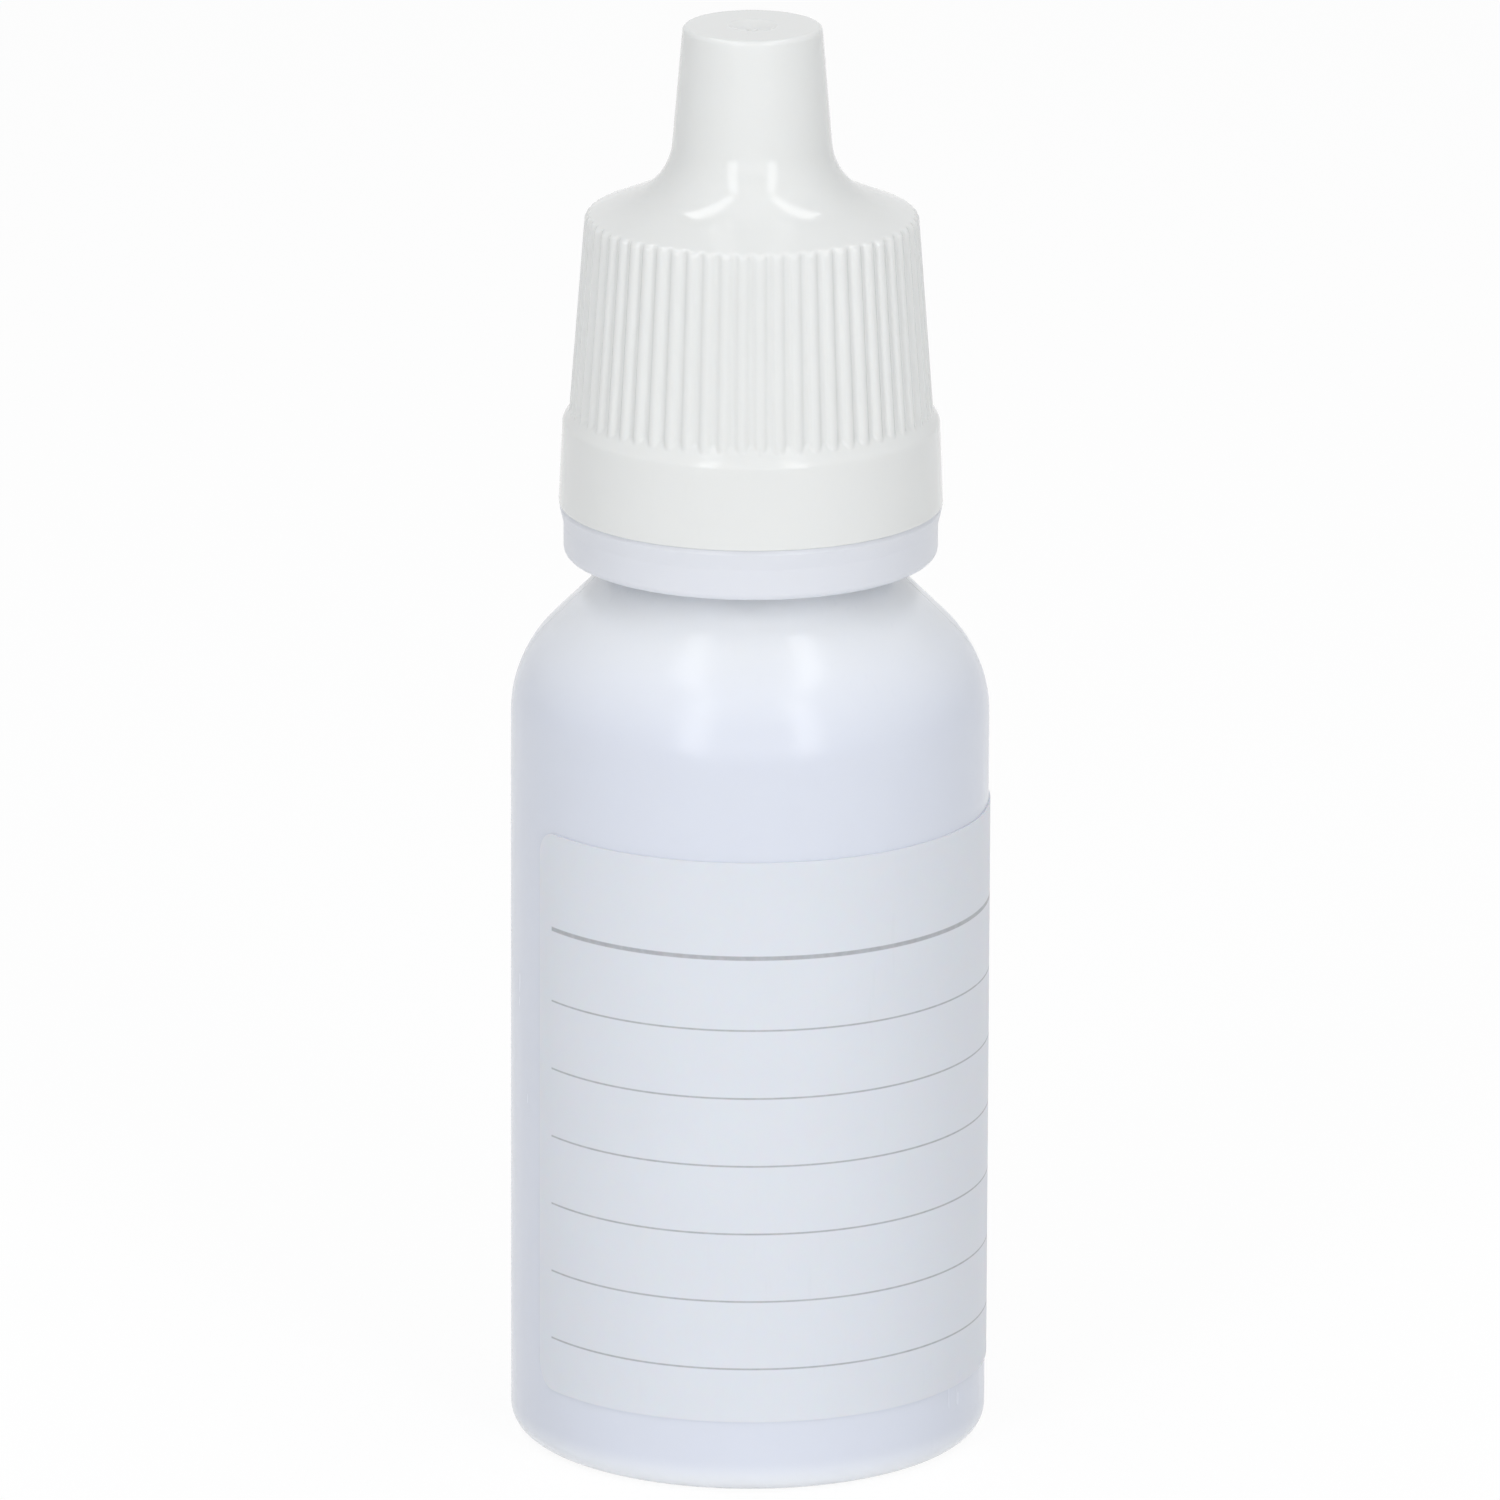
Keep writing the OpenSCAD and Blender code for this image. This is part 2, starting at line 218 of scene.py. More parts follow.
class RingSizes(bpy.types.PropertyGroup):
    bottom: length("Bottom", "Height of the ring's lower edge", RING_BOX[0].z / MM)
    height: length("Height", "Height of the ring", 2.37)
    slit: length("Slit", "Width of the slit under the cap", 0.12)
    web_gap: length("Web gap", "Gap between the slit's web and the cap", 0.015)
    inset: length("Inset", "Setback of the ring from the cap's lip", 0.23)
    bevel: length("Bevel", "Height of the ring's slanted top edge", 0.85)
    round: length("Lower edge", "Radius of the ring's lower edge", 0.4)
    bead_gap: length("Bead gap", "Gap between the ring and the bead", 0.35)
    hooks: IntProperty(
        name="Hooks", description="Hooks that catch the bead", default=8
    )
    hook_height: length("Hook height", "Height of the hooks", 0.75)
    hook_gap: length("Hook gap", "Gap between the hooks and the bead", 0.3)
    hook_slot: length("Hook slot", "Width of the slots between the hooks", 1.6)
    hook_edge: length("Hook edge", "Bevel on the hooks' tips", 0.1)
    hook_sink: length("Hook sink", "Depth of the hooks' roots in the ring", 0.06)
    bridges: IntProperty(
        name="Bridges", description="Bridges between ring and cap", default=8
    )
    bridge_width: length("Bridge width", "Width of each bridge", 0.6)
    bridge_sink: length("Bridge sink", "Depth of the bridges' ends in ring and lip", 0.05)


class LabelSizes(bpy.types.PropertyGroup):
    width: length("Width", "Length of the label round the bottle", 60.0)
    height: length("Height", "Height of the label", 27.2)
    bottom: length("Bottom", "Height of the label's lower edge", 3.6)
    film: length("Film", "Thickness of the film", 0.06)
    glue: length("Adhesive", "Film of adhesive under the label", 0.02)
    sink: length("Sink", "Depth of the sheet's inside in the bottle's surface", 0.01)
    corner: length("Corner", "Radius of the label's corners", 1.2)
    start: slope("Start", "Direction of the label's left end, from +x", 210)


class Finishes(bpy.types.PropertyGroup):
    bottle: tint("Bottle", "Milky squeeze plastic", (0.75, 0.782, 0.872))
    cap: tint("Cap", "White cap plastic", (0.83, 0.84, 0.83))
    ring: tint("Ring", "Tamper ring plastic", (0.79, 0.81, 0.865))
    dropper: tint("Dropper", "Clear-white dropper plastic", (0.86, 0.88, 0.90))
    label: tint("Label", "Label film", (0.78, 0.79, 0.85))
    ink: tint("Ink", "Grey of the ruled lines", (0.40, 0.41, 0.44))
    wear: amount("Wear", "How much the pieces are handled", 0.3)


class Studio(bpy.types.PropertyGroup):
    surround: amount("Surround", "Light from the white surround", 0.33, 4.0)
    uprights: amount("Upright lamps", "Power of each upright lamp in watts", 0.56, 50.0)
    overhead: amount("Overhead lamps", "Power of each lamp overhead in watts", 0.91, 50.0)
    front: amount("Front panel", "Power of the low panel in front in watts", 1.04, 50.0)
    lens: FloatProperty(
        name="Lens",
        description="Focal length of the camera, in millimetres",
        default=408.1,
        min=50.0,
    )


# Outlines


def on_arc(centre, radius, degrees):
    """A point on a circle, in the plane of a section."""
    turn = math.radians(degrees)
    return (
        centre[0] + radius * math.cos(turn),
        centre[1] + radius * math.sin(turn),
    )


def arc(centre, radius, first, last, steps=10):
    """Points on a circle from one angle to another, in degrees."""
    return [
        on_arc(centre, radius, first + (last - first) * i / steps)
        for i in range(steps + 1)
    ]


def rounded(corners, steps=5):
    """Turns corners (r, z, radius) into points, with a curve at each corner that has a radius."""
    points = []
    for i, corner in enumerate(corners):
        radius = corner[2] if len(corner) > 2 else 0.0
        if not radius or i in (0, len(corners) - 1):
            points.append(corner[:2])
            continue
        before, after = corners[i - 1], corners[i + 1]
        a = math.atan2(before[1] - corner[1], before[0] - corner[0])
        b = math.atan2(after[1] - corner[1], after[0] - corner[0])
        half = (b - a + math.pi) % (2 * math.pi) - math.pi
        reach = radius / abs(math.tan(half / 2))
        room = 0.49 * min(math.dist(before[:2], corner[:2]), math.dist(after[:2], corner[:2]))
        if reach > room:
            radius, reach = radius * room / reach, room
        middle = a + half / 2
        far = math.hypot(reach, radius)
        centre = (corner[0] + far * math.cos(middle), corner[1] + far * math.sin(middle))
        start, end = (
            math.atan2(
                corner[1] + reach * math.sin(side) - centre[1],
                corner[0] + reach * math.cos(side) - centre[0],
            )
            for side in (a, b)
        )
        sweep = (end - start + math.pi) % (2 * math.pi) - math.pi
        points += arc(centre, radius, math.degrees(start), math.degrees(start + sweep), steps)
    return points


def between(here, there, share):
    """A point part of the way from one point to another."""
    return tuple(a + (b - a) * share for a, b in zip(here, there))


def rows(low, high, count):
    """Points on a straight line between two points, without its ends."""
    return [between(low, high, i / (count + 1)) for i in range(1, count + 1)]


def held(points, near=0.12 * MM, long=0.9 * MM):
    """Adds a point near both ends of each long stretch, so that it looks straight when it is smooth."""
    result = points[:1]
    for here, there in zip(points, points[1:]):
        span = math.dist(here, there)
        if span > long:
            result += [between(here, there, share) for share in (near / span, 1 - near / span)]
        result.append(there)
    return result


# Bench work


def clear_bench():
    """Leaves edit mode and deselects everything."""
    if bpy.context.mode != "OBJECT":
        bpy.ops.object.mode_set(mode="OBJECT")
    bpy.ops.object.select_all(action="DESELECT")


def start_point(r, z):
    """One point at radius r and height z, in edit mode, with the object at the origin."""
    clear_bench()
    bpy.ops.mesh.primitive_plane_add(size=MM, location=(r, 0, z))
    bpy.ops.object.transform_apply(location=True, rotation=True, scale=True)
    bpy.ops.object.mode_set(mode="EDIT")
    bpy.ops.mesh.select_mode(type="VERT")
    bpy.ops.mesh.select_all(action="SELECT")
    bpy.ops.mesh.merge(type="CENTER")


def draw(outline):
    """Starts at the outline's first point and extrudes it from point to point."""
    start_point(*outline[0])
    for here, there in zip(outline, outline[1:]):
        bpy.ops.mesh.extrude_region_move(
            TRANSFORM_OT_translate={"value": (there[0] - here[0], 0, there[1] - here[1])}
        )
    bpy.ops.mesh.select_all(action="SELECT")


def weld():
    """Makes points that meet one, and turns the faces outwards."""
    bpy.ops.mesh.select_all(action="SELECT")
    bpy.ops.mesh.remove_doubles(threshold=SAME)
    bpy.ops.mesh.normals_make_consistent(inside=False)


def off_bench():
    """Leaves edit mode and gives the piece that was worked on."""
    bpy.ops.object.mode_set(mode="OBJECT")
    return bpy.context.object


def turned(outline, steps):
    """Spins an outline once round the bottle's axis."""
    draw(outline)
    bpy.ops.mesh.spin(steps=steps, angle=2 * math.pi, center=MIDDLE, axis=AXIS)
    weld()
    return off_bench()


def turn_round(angle):
    """Turns what is selected round the axis. With no window the operator turns the other way."""
    bpy.ops.transform.rotate(value=-angle, orient_axis="Z", center_override=MIDDLE)


def select_points(test):
    """Selects the points that pass a test, and nothing else."""
    bpy.ops.mesh.select_mode(type="VERT")
    bpy.ops.mesh.select_all(action="DESELECT")
    data = bpy.context.object.data
    shape = bmesh.from_edit_mesh(data)
    for point in shape.verts:
        point.select = test(point.co)
    shape.select_flush(True)
    bmesh.update_edit_mesh(data)


def swell(factor):
    """Moves the selected points out from the axis, or in towards it."""
    bpy.ops.transform.resize(value=(factor, factor, 1), center_override=MIDDLE)


def spin_copies(count):
    """Copies what is in edit mode evenly round the axis."""
    bpy.ops.mesh.select_all(action="SELECT")
    bpy.ops.mesh.spin(
        steps=count - 1, dupli=True, angle=2 * math.pi * (count - 1) / count,
        center=MIDDLE, axis=AXIS,
    )


def join(pieces):
    """Makes one object of several."""
    clear_bench()
    for piece in pieces:
        piece.select_set(True)
    bpy.context.view_layer.objects.active = pieces[0]
    bpy.ops.object.join()
    return bpy.context.object


def finished(piece, name, body, finish, replaced=(), sharp=32):
    """Names a piece, smooths it, gives it its finish and sets it on its body."""
    clear_bench()
    piece.name = name
    piece.data.name = name
    piece.select_set(True)
    bpy.context.view_layer.objects.active = piece
    bpy.ops.object.transform_apply(location=True, rotation=True, scale=True)
    bpy.ops.object.shade_smooth_by_angle(angle=math.radians(sharp))
    piece.data.materials.clear()
    piece.data.materials.append(bpy.data.materials[finish])
    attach(piece, body)
    if replaced:
        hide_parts(*replaced)


def screw_thread(b, wall, crest, low, taper=10, steps=96):
    """Winds a rib with slanted flanks round the axis and runs both of its ends out into the wall.

    The rib's lower end is at the height low, wall and crest are the radii of its root and
    its top, and taper is the number of sections over which each end runs out."""
    root, top = b.thread_root / 2, b.thread_crest / 2
    section = rounded(
        [
            (wall, low - root),
            (crest, low - top, b.thread_round),
            (crest, low + top, b.thread_round),
            (wall, low + root),
        ],
        3,
    )
    draw(section)
    bpy.ops.mesh.edge_face_add()
    bpy.ops.mesh.delete(type="ONLY_FACE")
    bpy.ops.object.mode_set(mode="OBJECT")
    count = int(steps * b.thread_turns)
    bpy.ops.object.modifier_add(type="SCREW")
    wind = bpy.context.object.modifiers[-1]
    wind.axis = "Z"
    wind.angle = 2 * math.pi * b.thread_turns
    wind.screw_offset = b.thread_lead * b.thread_turns
    wind.steps = wind.render_steps = count
    wind.use_merge_vertices = False
    bpy.ops.object.modifier_apply(modifier=wind.name)
    bpy.ops.object.mode_set(mode="EDIT")
    n = len(section)
    shape = bmesh.from_edit_mesh(bpy.context.object.data)
    total = len(shape.verts) // n
    for k in range(taper):
        share = math.sin(math.pi / 2 * k / taper)
        for ring in (k, total - 1 - k):
            for j, (r, _z) in enumerate(section):
                goal = wall + (r - wall) * share
                chosen = ring * n + j
                bpy.ops.mesh.select_all(action="DESELECT")
                shape = bmesh.from_edit_mesh(bpy.context.object.data)
                shape.verts.ensure_lookup_table()
                shape.verts[chosen].select = True
                bmesh.update_edit_mesh(bpy.context.object.data)
                swell(goal / r)
    bpy.ops.mesh.select_all(action="DESELECT")
    bpy.ops.mesh.select_non_manifold()
    bpy.ops.mesh.fill_holes(sides=0)
    weld()
    return off_bench()


# Finishes

# How a colour or a roughness changes where a wall clouds or is rubbed
CLOUD_SHADE = 0.985
RUB_SHADE = 0.95
RUB_DULL = 0.15
SPREAD = 0.05

# How far noise mostly strays from its middle, and the heights of the skin's waves and grain
NOISE_SWING = 0.25
WAVE_HEIGHT = 0.1 * MM
GRAIN_HEIGHT = 0.01 * MM

# What every plastic here has in common
PLASTIC_IOR = 1.5
PLASTIC_GLOSS = 0.35
LIGHT_REACH = (1.0, 0.95, 0.9)

# Thick walls of the bottle look whiter, and that whiter colour is also painted light that lifts the shade
# on the shoulder and at the heel by the floor.
# Each pair of heights says where that starts and where it is full, from the rim down or from the foot up
THICK_WALL_AND_PAINTED_LIGHT = (0.89, 0.915, 0.965, 1.0)
# Painted light: a whiter band on the shoulder right under the ring, which lifts the ring's shadow
PAINTED_LIGHT_UNDER_RING = (0.93, 0.96, 1.0, 1.0)
THICK_NECK_AND_PAINTED_LIGHT = (-20.6 * MM, -14.8 * MM)
THICK_HEEL_AND_PAINTED_LIGHT = (1.7 * MM, 0.3 * MM)
# Heights of that painted light under the ring: where it rises from below, and where it falls off above
PAINTED_GLOW_FROM = (-15.8 * MM, -14.7 * MM)
PAINTED_GLOW_TO = (-11.5 * MM, -13.0 * MM)

# Half widths of the parting line, at the plain wall and at its crest, its height and its strength
PARTING_WIDTH = (0.16 * MM, 0.05 * MM)
PARTING_HEIGHT = 0.05 * MM
PARTING_STRENGTH = 0.7

# How the label's film clouds and is rubbed, and how even its ink is
FILM_SHADE = 1.012
FILM_RUB_SHADE = 0.94
FILM_RUB_DULL = 0.12
INK_LEAST = 0.6
INK_BLOT = 0.5

# Ruled lines on the label's flat map, in millimetres
RULE_FIRST = 2.6
RULE_STEP = 3.3
RULE_COUNT = 6
RULE_HALF = 0.04
HEAD_DROP = 4.6
HEAD_HALF = 0.1
RULE_SOFT = 0.02
RULE_MARGIN = 1.0
MARGIN_SOFT = 0.05

# The floor: how much of what the camera sees is plain white, and how bright, and the floor's colour
FLOOR_SHARE = 0.9
FLOOR_WHITE = 1.02
FLOOR_COLOUR = (0.94, 0.94, 0.94)


def feed(tree, socket, value):
    """Links a socket to another one, or gives it a plain value."""
    if isinstance(value, bpy.types.NodeSocket):
        tree.links.new(value, socket)
    else:
        socket.default_value = value


def add(tree, kind, settings=None, **values):
    """Adds a node with its settings and with values for its sockets, by name."""
    node = tree.nodes.new(kind)
    for key, value in (settings or {}).items():
        setattr(node, key, value)
    for key, value in values.items():
        feed(tree, node.inputs[key.replace("_", " ")], value)
    return node


def maths(tree, operation, *values, clamp=False):
    """Works one value out of one or two others."""
    node = tree.nodes.new("ShaderNodeMath")
    node.operation = operation
    node.use_clamp = clamp
    for socket, value in zip(node.inputs, values):
        feed(tree, socket, value)
    return node.outputs[0]


def blend(tree, mask, a, b):
    """Mixes two colours by a mask."""
    node = tree.nodes.new("ShaderNodeMix")
    node.data_type = "RGBA"
    for socket, value in zip((node.inputs[0], node.inputs[6], node.inputs[7]), (mask, a, b)):
        feed(tree, socket, value)
    return node.outputs[2]


def on_piece(tree):
    """Places on the piece itself."""
    return add(tree, "ShaderNodeTexCoord").outputs["Object"]


def along(tree, place, axis):
    """One coordinate of a place."""
    return add(tree, "ShaderNodeSeparateXYZ", Vector=place).outputs[axis]


def noise(tree, place, size, detail):
    """Soft noise over a place. A higher size makes it finer."""
    return add(tree, "ShaderNodeTexNoise", Vector=place, Scale=size, Detail=detail).outputs["Fac"]


def bump(tree, height, strength, distance, normal=None):
    """A normal that follows a height, on top of another normal if there is one."""
    node = add(tree, "ShaderNodeBump", Height=height, Strength=strength, Distance=distance)
    if normal is not None:
        tree.links.new(normal, node.inputs["Normal"])
    return node.outputs["Normal"]


def ramp(tree, value, start, full):
    """A mask that rises smoothly from 0 at one value to 1 at the other."""
    step = add(
        tree, "ShaderNodeMapRange", {"interpolation_type": "SMOOTHSTEP"},
        Value=value, From_Min=start, From_Max=full,
    )
    return step.outputs[0]


def rgba(colour, factor=1.0):
    """A colour for a socket, made a little darker or lighter by a factor."""
    return tuple(min(1.0, c * factor) for c in colour) + (1.0,)


def new_group(name, inputs, outputs):
    """Starts a node group, and gives it with its inner ends."""
    group = bpy.data.node_groups.new(name, "ShaderNodeTree")
    sockets = group.interface
    for label, value in inputs.items():
        socket = sockets.new_socket(name=label, in_out="INPUT", socket_type="NodeSocketFloat")
        socket.default_value = value
    for label, kind in outputs.items():
        sockets.new_socket(name=label, in_out="OUTPUT", socket_type=kind)
    given = group.nodes.new("NodeGroupInput").outputs
    result = group.nodes.new("NodeGroupOutput").inputs
    return group, given, result


def place_group(tree, name, **values):
    """Places a node group in a material, with its own values."""
    return add(tree, "ShaderNodeGroup", {"node_tree": bpy.data.node_groups[name]}, **values)


def moulded_skin():
    """Slight unevenness of a moulded wall: soft waves, a fine grain, and a roughness that wanders."""
    group, given, result = new_group(
        "Moulded skin",
        {
            "Roughness": 0.35,
            "Spread": SPREAD,
            "Wave size": 180.0,
            "Wave depth": 0.3,
            "Grain size": 5200.0,
            "Grain depth": 0.1,
        },
        {"Roughness": "NodeSocketFloat", "Cloud": "NodeSocketFloat", "Normal": "NodeSocketVector"},
    )
    place = on_piece(group)
    cloud = noise(group, place, given["Wave size"], detail=3.0)
    grain = noise(group, place, given["Grain size"], detail=2.0)
    waves = bump(group, cloud, given["Wave depth"], WAVE_HEIGHT)
    fine = bump(group, grain, given["Grain depth"], GRAIN_HEIGHT, waves)
    drift = maths(group, "MULTIPLY", maths(group, "SUBTRACT", cloud, 0.5), given["Spread"])
    drift = maths(group, "MULTIPLY", drift, 1 / NOISE_SWING)
    rough = maths(group, "ADD", given["Roughness"], drift, clamp=True)
    group.links.new(rough, result["Roughness"])
    group.links.new(cloud, result["Cloud"])
    group.links.new(fine, result["Normal"])


def handling_marks():
    """Rubbed and finger-marked places on plastic that is picked up and put down."""
    group, given, result = new_group(
        "Handling marks", {"Amount": 0.5, "Size": 140.0}, {"Mask": "NodeSocketFloat"}
    )
    place = on_piece(group)
    # Scratches are noise that is drawn out one way
    drawn = add(
        group, "ShaderNodeMapping", Vector=place, Scale=(1.0, 1.0, 0.12), Rotation=(0.5, 0.35, 0.0)
    ).outputs["Vector"]
    patch = ramp(group, noise(group, place, given["Size"], detail=2.0), start=0.42, full=0.8)
    scratch = ramp(group, noise(group, drawn, size=3200.0, detail=1.0), start=0.64, full=0.78)
    smear = 0.35
    both = maths(group, "MULTIPLY", patch, maths(group, "ADD", scratch, smear))
    mask = maths(group, "MULTIPLY", both, given["Amount"], clamp=True)
    group.links.new(mask, result["Mask"])


def new_material(name):
    """Starts a material and gives its nodes."""
    material = bpy.data.materials.new(name)
    material.use_nodes = True
    return material.node_tree


def thick_wall_and_painted_light(tree, colour):
    """The neck with the shoulder near it and the heel are thick, and look whiter than the thin wall; this
    whiter colour is also painted light that lifts their shade.
    Right under the ring a still whiter band is painted light that lifts the shadow the ring casts."""
    up = along(tree, on_piece(tree), "Z")
    foot, rim = BOTTLE_BOX[0].z, BOTTLE_BOX[1].z
    neck = ramp(tree, up, rim + THICK_NECK_AND_PAINTED_LIGHT[0], rim + THICK_NECK_AND_PAINTED_LIGHT[1])
    heel = ramp(tree, up, foot + THICK_HEEL_AND_PAINTED_LIGHT[0], foot + THICK_HEEL_AND_PAINTED_LIGHT[1])
    # Whiter thick neck and heel, partly painted light that lifts the shade under the cap and by the floor
    colour = blend(tree, maths(tree, "MAXIMUM", neck, heel), colour, THICK_WALL_AND_PAINTED_LIGHT)
    # Painted light: a whiter band right under the ring, which lifts the ring's shadow
    over = ramp(tree, up, rim + PAINTED_GLOW_FROM[0], rim + PAINTED_GLOW_FROM[1])
    under = ramp(tree, up, rim + PAINTED_GLOW_TO[0], rim + PAINTED_GLOW_TO[1])
    return blend(tree, maths(tree, "MINIMUM", over, under), colour, PAINTED_LIGHT_UNDER_RING)


def parting_line(tree, normal):
    """The fine ridge down both sides of the bottle, where the halves of its mould met."""
    off = maths(tree, "ABSOLUTE", along(tree, on_piece(tree), "Y"))
    crest = ramp(tree, off, *PARTING_WIDTH)
    return bump(tree, crest, PARTING_STRENGTH, PARTING_HEIGHT, normal)


def plastic(name, colour, cloud, roughness, through, depth, wave, grain, wear, seams_and_painted_light=False):
    """A moulded plastic: it clouds a little, is dull where it is rubbed, and light gets under its skin.

    Wave and grain are pairs of a size and a depth, through and depth say how much light
    gets under the skin and how far, in millimetres, and for the bottle the last switch adds the whiter
    thick walls, painted light that lifts the shade under the ring and cap and at the heel, and the
    parting line."""
    tree = new_material(name)
    shader = tree.nodes["Principled BSDF"].inputs
    skin = place_group(
        tree, "Moulded skin", Roughness=roughness, Spread=SPREAD,
        Wave_size=wave[0], Wave_depth=wave[1], Grain_size=grain[0], Grain_depth=grain[1],
    ).outputs
    rubbed = place_group(tree, "Handling marks", Amount=wear).outputs["Mask"]
    shade = blend(tree, skin["Cloud"], rgba(colour, CLOUD_SHADE), rgba(cloud))
    normal = skin["Normal"]
    if seams_and_painted_light:
        # Painted light: whiter colour on the neck, shoulder and heel, and under the ring, lifts the shade
        # there
        shade = thick_wall_and_painted_light(tree, shade)
        normal = parting_line(tree, normal)
    shade = blend(tree, rubbed, shade, rgba(colour, RUB_SHADE))
    dull = maths(tree, "MULTIPLY", rubbed, RUB_DULL)
    rough = maths(tree, "ADD", skin["Roughness"], dull, clamp=True)
    tree.links.new(shade, shader["Base Color"])
    tree.links.new(rough, shader["Roughness"])
    tree.links.new(normal, shader["Normal"])
    shader["IOR"].default_value = PLASTIC_IOR
    shader["Specular IOR Level"].default_value = PLASTIC_GLOSS
    shader["Subsurface Weight"].default_value = through
    shader["Subsurface Radius"].default_value = LIGHT_REACH
    shader["Subsurface Scale"].default_value = depth * MM


def rule(tree, up, height, half):
    """Mask of one ruled line at a height on the flat map, with soft edges."""
    off = maths(tree, "ABSOLUTE", maths(tree, "SUBTRACT", up, height))
    inside = maths(tree, "SUBTRACT", half + RULE_SOFT, off)
    return maths(tree, "MULTIPLY", inside, 0.5 / RULE_SOFT, clamp=True)


def ruled_lines(tree, wide, tall):
    """Mask of a bold ruled line near the label's top and fine ones under it, clear of its ends."""
    flat = add(tree, "ShaderNodeUVMap", {"uv_map": "flat"}).outputs["UV"]
    across, up = along(tree, flat, "X"), along(tree, flat, "Y")
    lines = rule(tree, up, tall - HEAD_DROP, HEAD_HALF)
    for i in range(RULE_COUNT):
        fine = rule(tree, up, RULE_FIRST + i * RULE_STEP, RULE_HALF)
        lines = maths(tree, "MAXIMUM", lines, fine)
    off = maths(tree, "ABSOLUTE", maths(tree, "SUBTRACT", across, wide / 2))
    inner = maths(tree, "SUBTRACT", wide / 2 - RULE_MARGIN, off)
    inner = maths(tree, "MULTIPLY", inner, 1 / MARGIN_SOFT, clamp=True)
    return maths(tree, "MULTIPLY", lines, inner)


def label_film(name, colour, ink, sizes):
    """Satin label film with plain ruled lines, drawn on the label's own flat map in millimetres."""
    tree = new_material(name)
    shader = tree.nodes["Principled BSDF"].inputs
    skin = place_group(
        tree, "Moulded skin", Roughness=0.42, Spread=SPREAD,
        Wave_size=260.0, Wave_depth=0.14, Grain_size=7000.0, Grain_depth=0.12,
    ).outputs
    rubbed = place_group(tree, "Handling marks", Amount=0.4).outputs["Mask"]
    paper = blend(tree, skin["Cloud"], rgba(colour, CLOUD_SHADE), rgba(colour, FILM_SHADE))
    paper = blend(tree, rubbed, paper, rgba(colour, FILM_RUB_SHADE))
    lines = ruled_lines(tree, sizes.width / MM, sizes.height / MM)
    blot = noise(tree, on_piece(tree), size=2600.0, detail=2.0)
    even = maths(tree, "ADD", maths(tree, "MULTIPLY", blot, INK_BLOT), INK_LEAST)
    lines = maths(tree, "MULTIPLY", lines, even, clamp=True)
    paper = blend(tree, lines, paper, rgba(ink))
    dull = maths(tree, "MULTIPLY", rubbed, FILM_RUB_DULL)
    rough = maths(tree, "ADD", skin["Roughness"], dull)
    tree.links.new(paper, shader["Base Color"])
    tree.links.new(rough, shader["Roughness"])
    tree.links.new(skin["Normal"], shader["Normal"])
    shader["Subsurface Weight"].default_value = 0.15
    shader["Subsurface Scale"].default_value = 0.4 * MM


def seen_mask(tree):
    """1 for rays from the camera, also when they come off or through a shiny piece."""
    path = tree.nodes.new("ShaderNodeLightPath").outputs
    seen = maths(tree, "MAXIMUM", path["Is Camera Ray"], path["Is Glossy Ray"])
    return maths(tree, "MAXIMUM", seen, path["Is Transmission Ray"])


def mix_surface(tree, share, first, second, end):
    """Mixes two shaders and makes them the surface of a material or a world."""
    mixed = tree.nodes.new("ShaderNodeMixShader")
    for socket, value in zip(mixed.inputs, (share, first.outputs[0], second.outputs[0])):
        tree.links.new(value, socket)
    tree.links.new(mixed.outputs[0], tree.nodes.new(end).inputs["Surface"])


def stage_white(name):
    """White floor: the camera sees it nearly all lit, and the rest of it keeps the shadow."""
    tree = new_material(name)
    tree.nodes.clear()
    share = maths(tree, "MULTIPLY", seen_mask(tree), FLOOR_SHARE)
    matt = add(tree, "ShaderNodeBsdfDiffuse", Color=rgba(FLOOR_COLOUR))
    lit = add(tree, "ShaderNodeEmission", Color=(1.0, 1.0, 1.0, 1.0), Strength=FLOOR_WHITE)
    mix_surface(tree, share, matt, lit, "ShaderNodeOutputMaterial")


class EYEDROP_OT_finishes(bpy.types.Operator):
    """Mix the plastics of the bottle, cap, ring and dropper, and the label's film"""

    bl_idname = "eyedrop.finishes"
    bl_label = "Mix Finishes"

    def execute(self, context):
        f = context.scene.eyedrop_finishes
        moulded_skin()
        handling_marks()
        # The bottle's colour carries painted light that lifts the shade under the ring and cap and at the
        # heel
        plastic(
            "bottle_plastic", f.bottle, cloud=(0.76, 0.797, 0.887), roughness=0.21, through=0.3,
            depth=0.4, wave=(150.0, 0.25), grain=(5200.0, 0.10), wear=f.wear * 0.6, seams_and_painted_light=True,
        )
        plastic(
            "cap_plastic", f.cap, cloud=(0.838, 0.85, 0.844), roughness=0.13, through=0.3,
            depth=0.3, wave=(210.0, 0.06), grain=(6500.0, 0.02), wear=f.wear,
        )
        plastic(
            "ring_plastic", f.ring, cloud=(0.80, 0.82, 0.875), roughness=0.36, through=0.3,
            depth=0.6, wave=(210.0, 0.12), grain=(6500.0, 0.06), wear=f.wear * 0.5,
        )
        plastic(
            "dropper_plastic", f.dropper, cloud=(0.87, 0.89, 0.91), roughness=0.18, through=0.5,
            depth=0.8, wave=(240.0, 0.1), grain=(6500.0, 0.05), wear=f.wear * 0.3,
        )
        label_film("label_film", f.label, f.ink, context.scene.eyedrop_label)
        return {"FINISHED"}


# Bottle


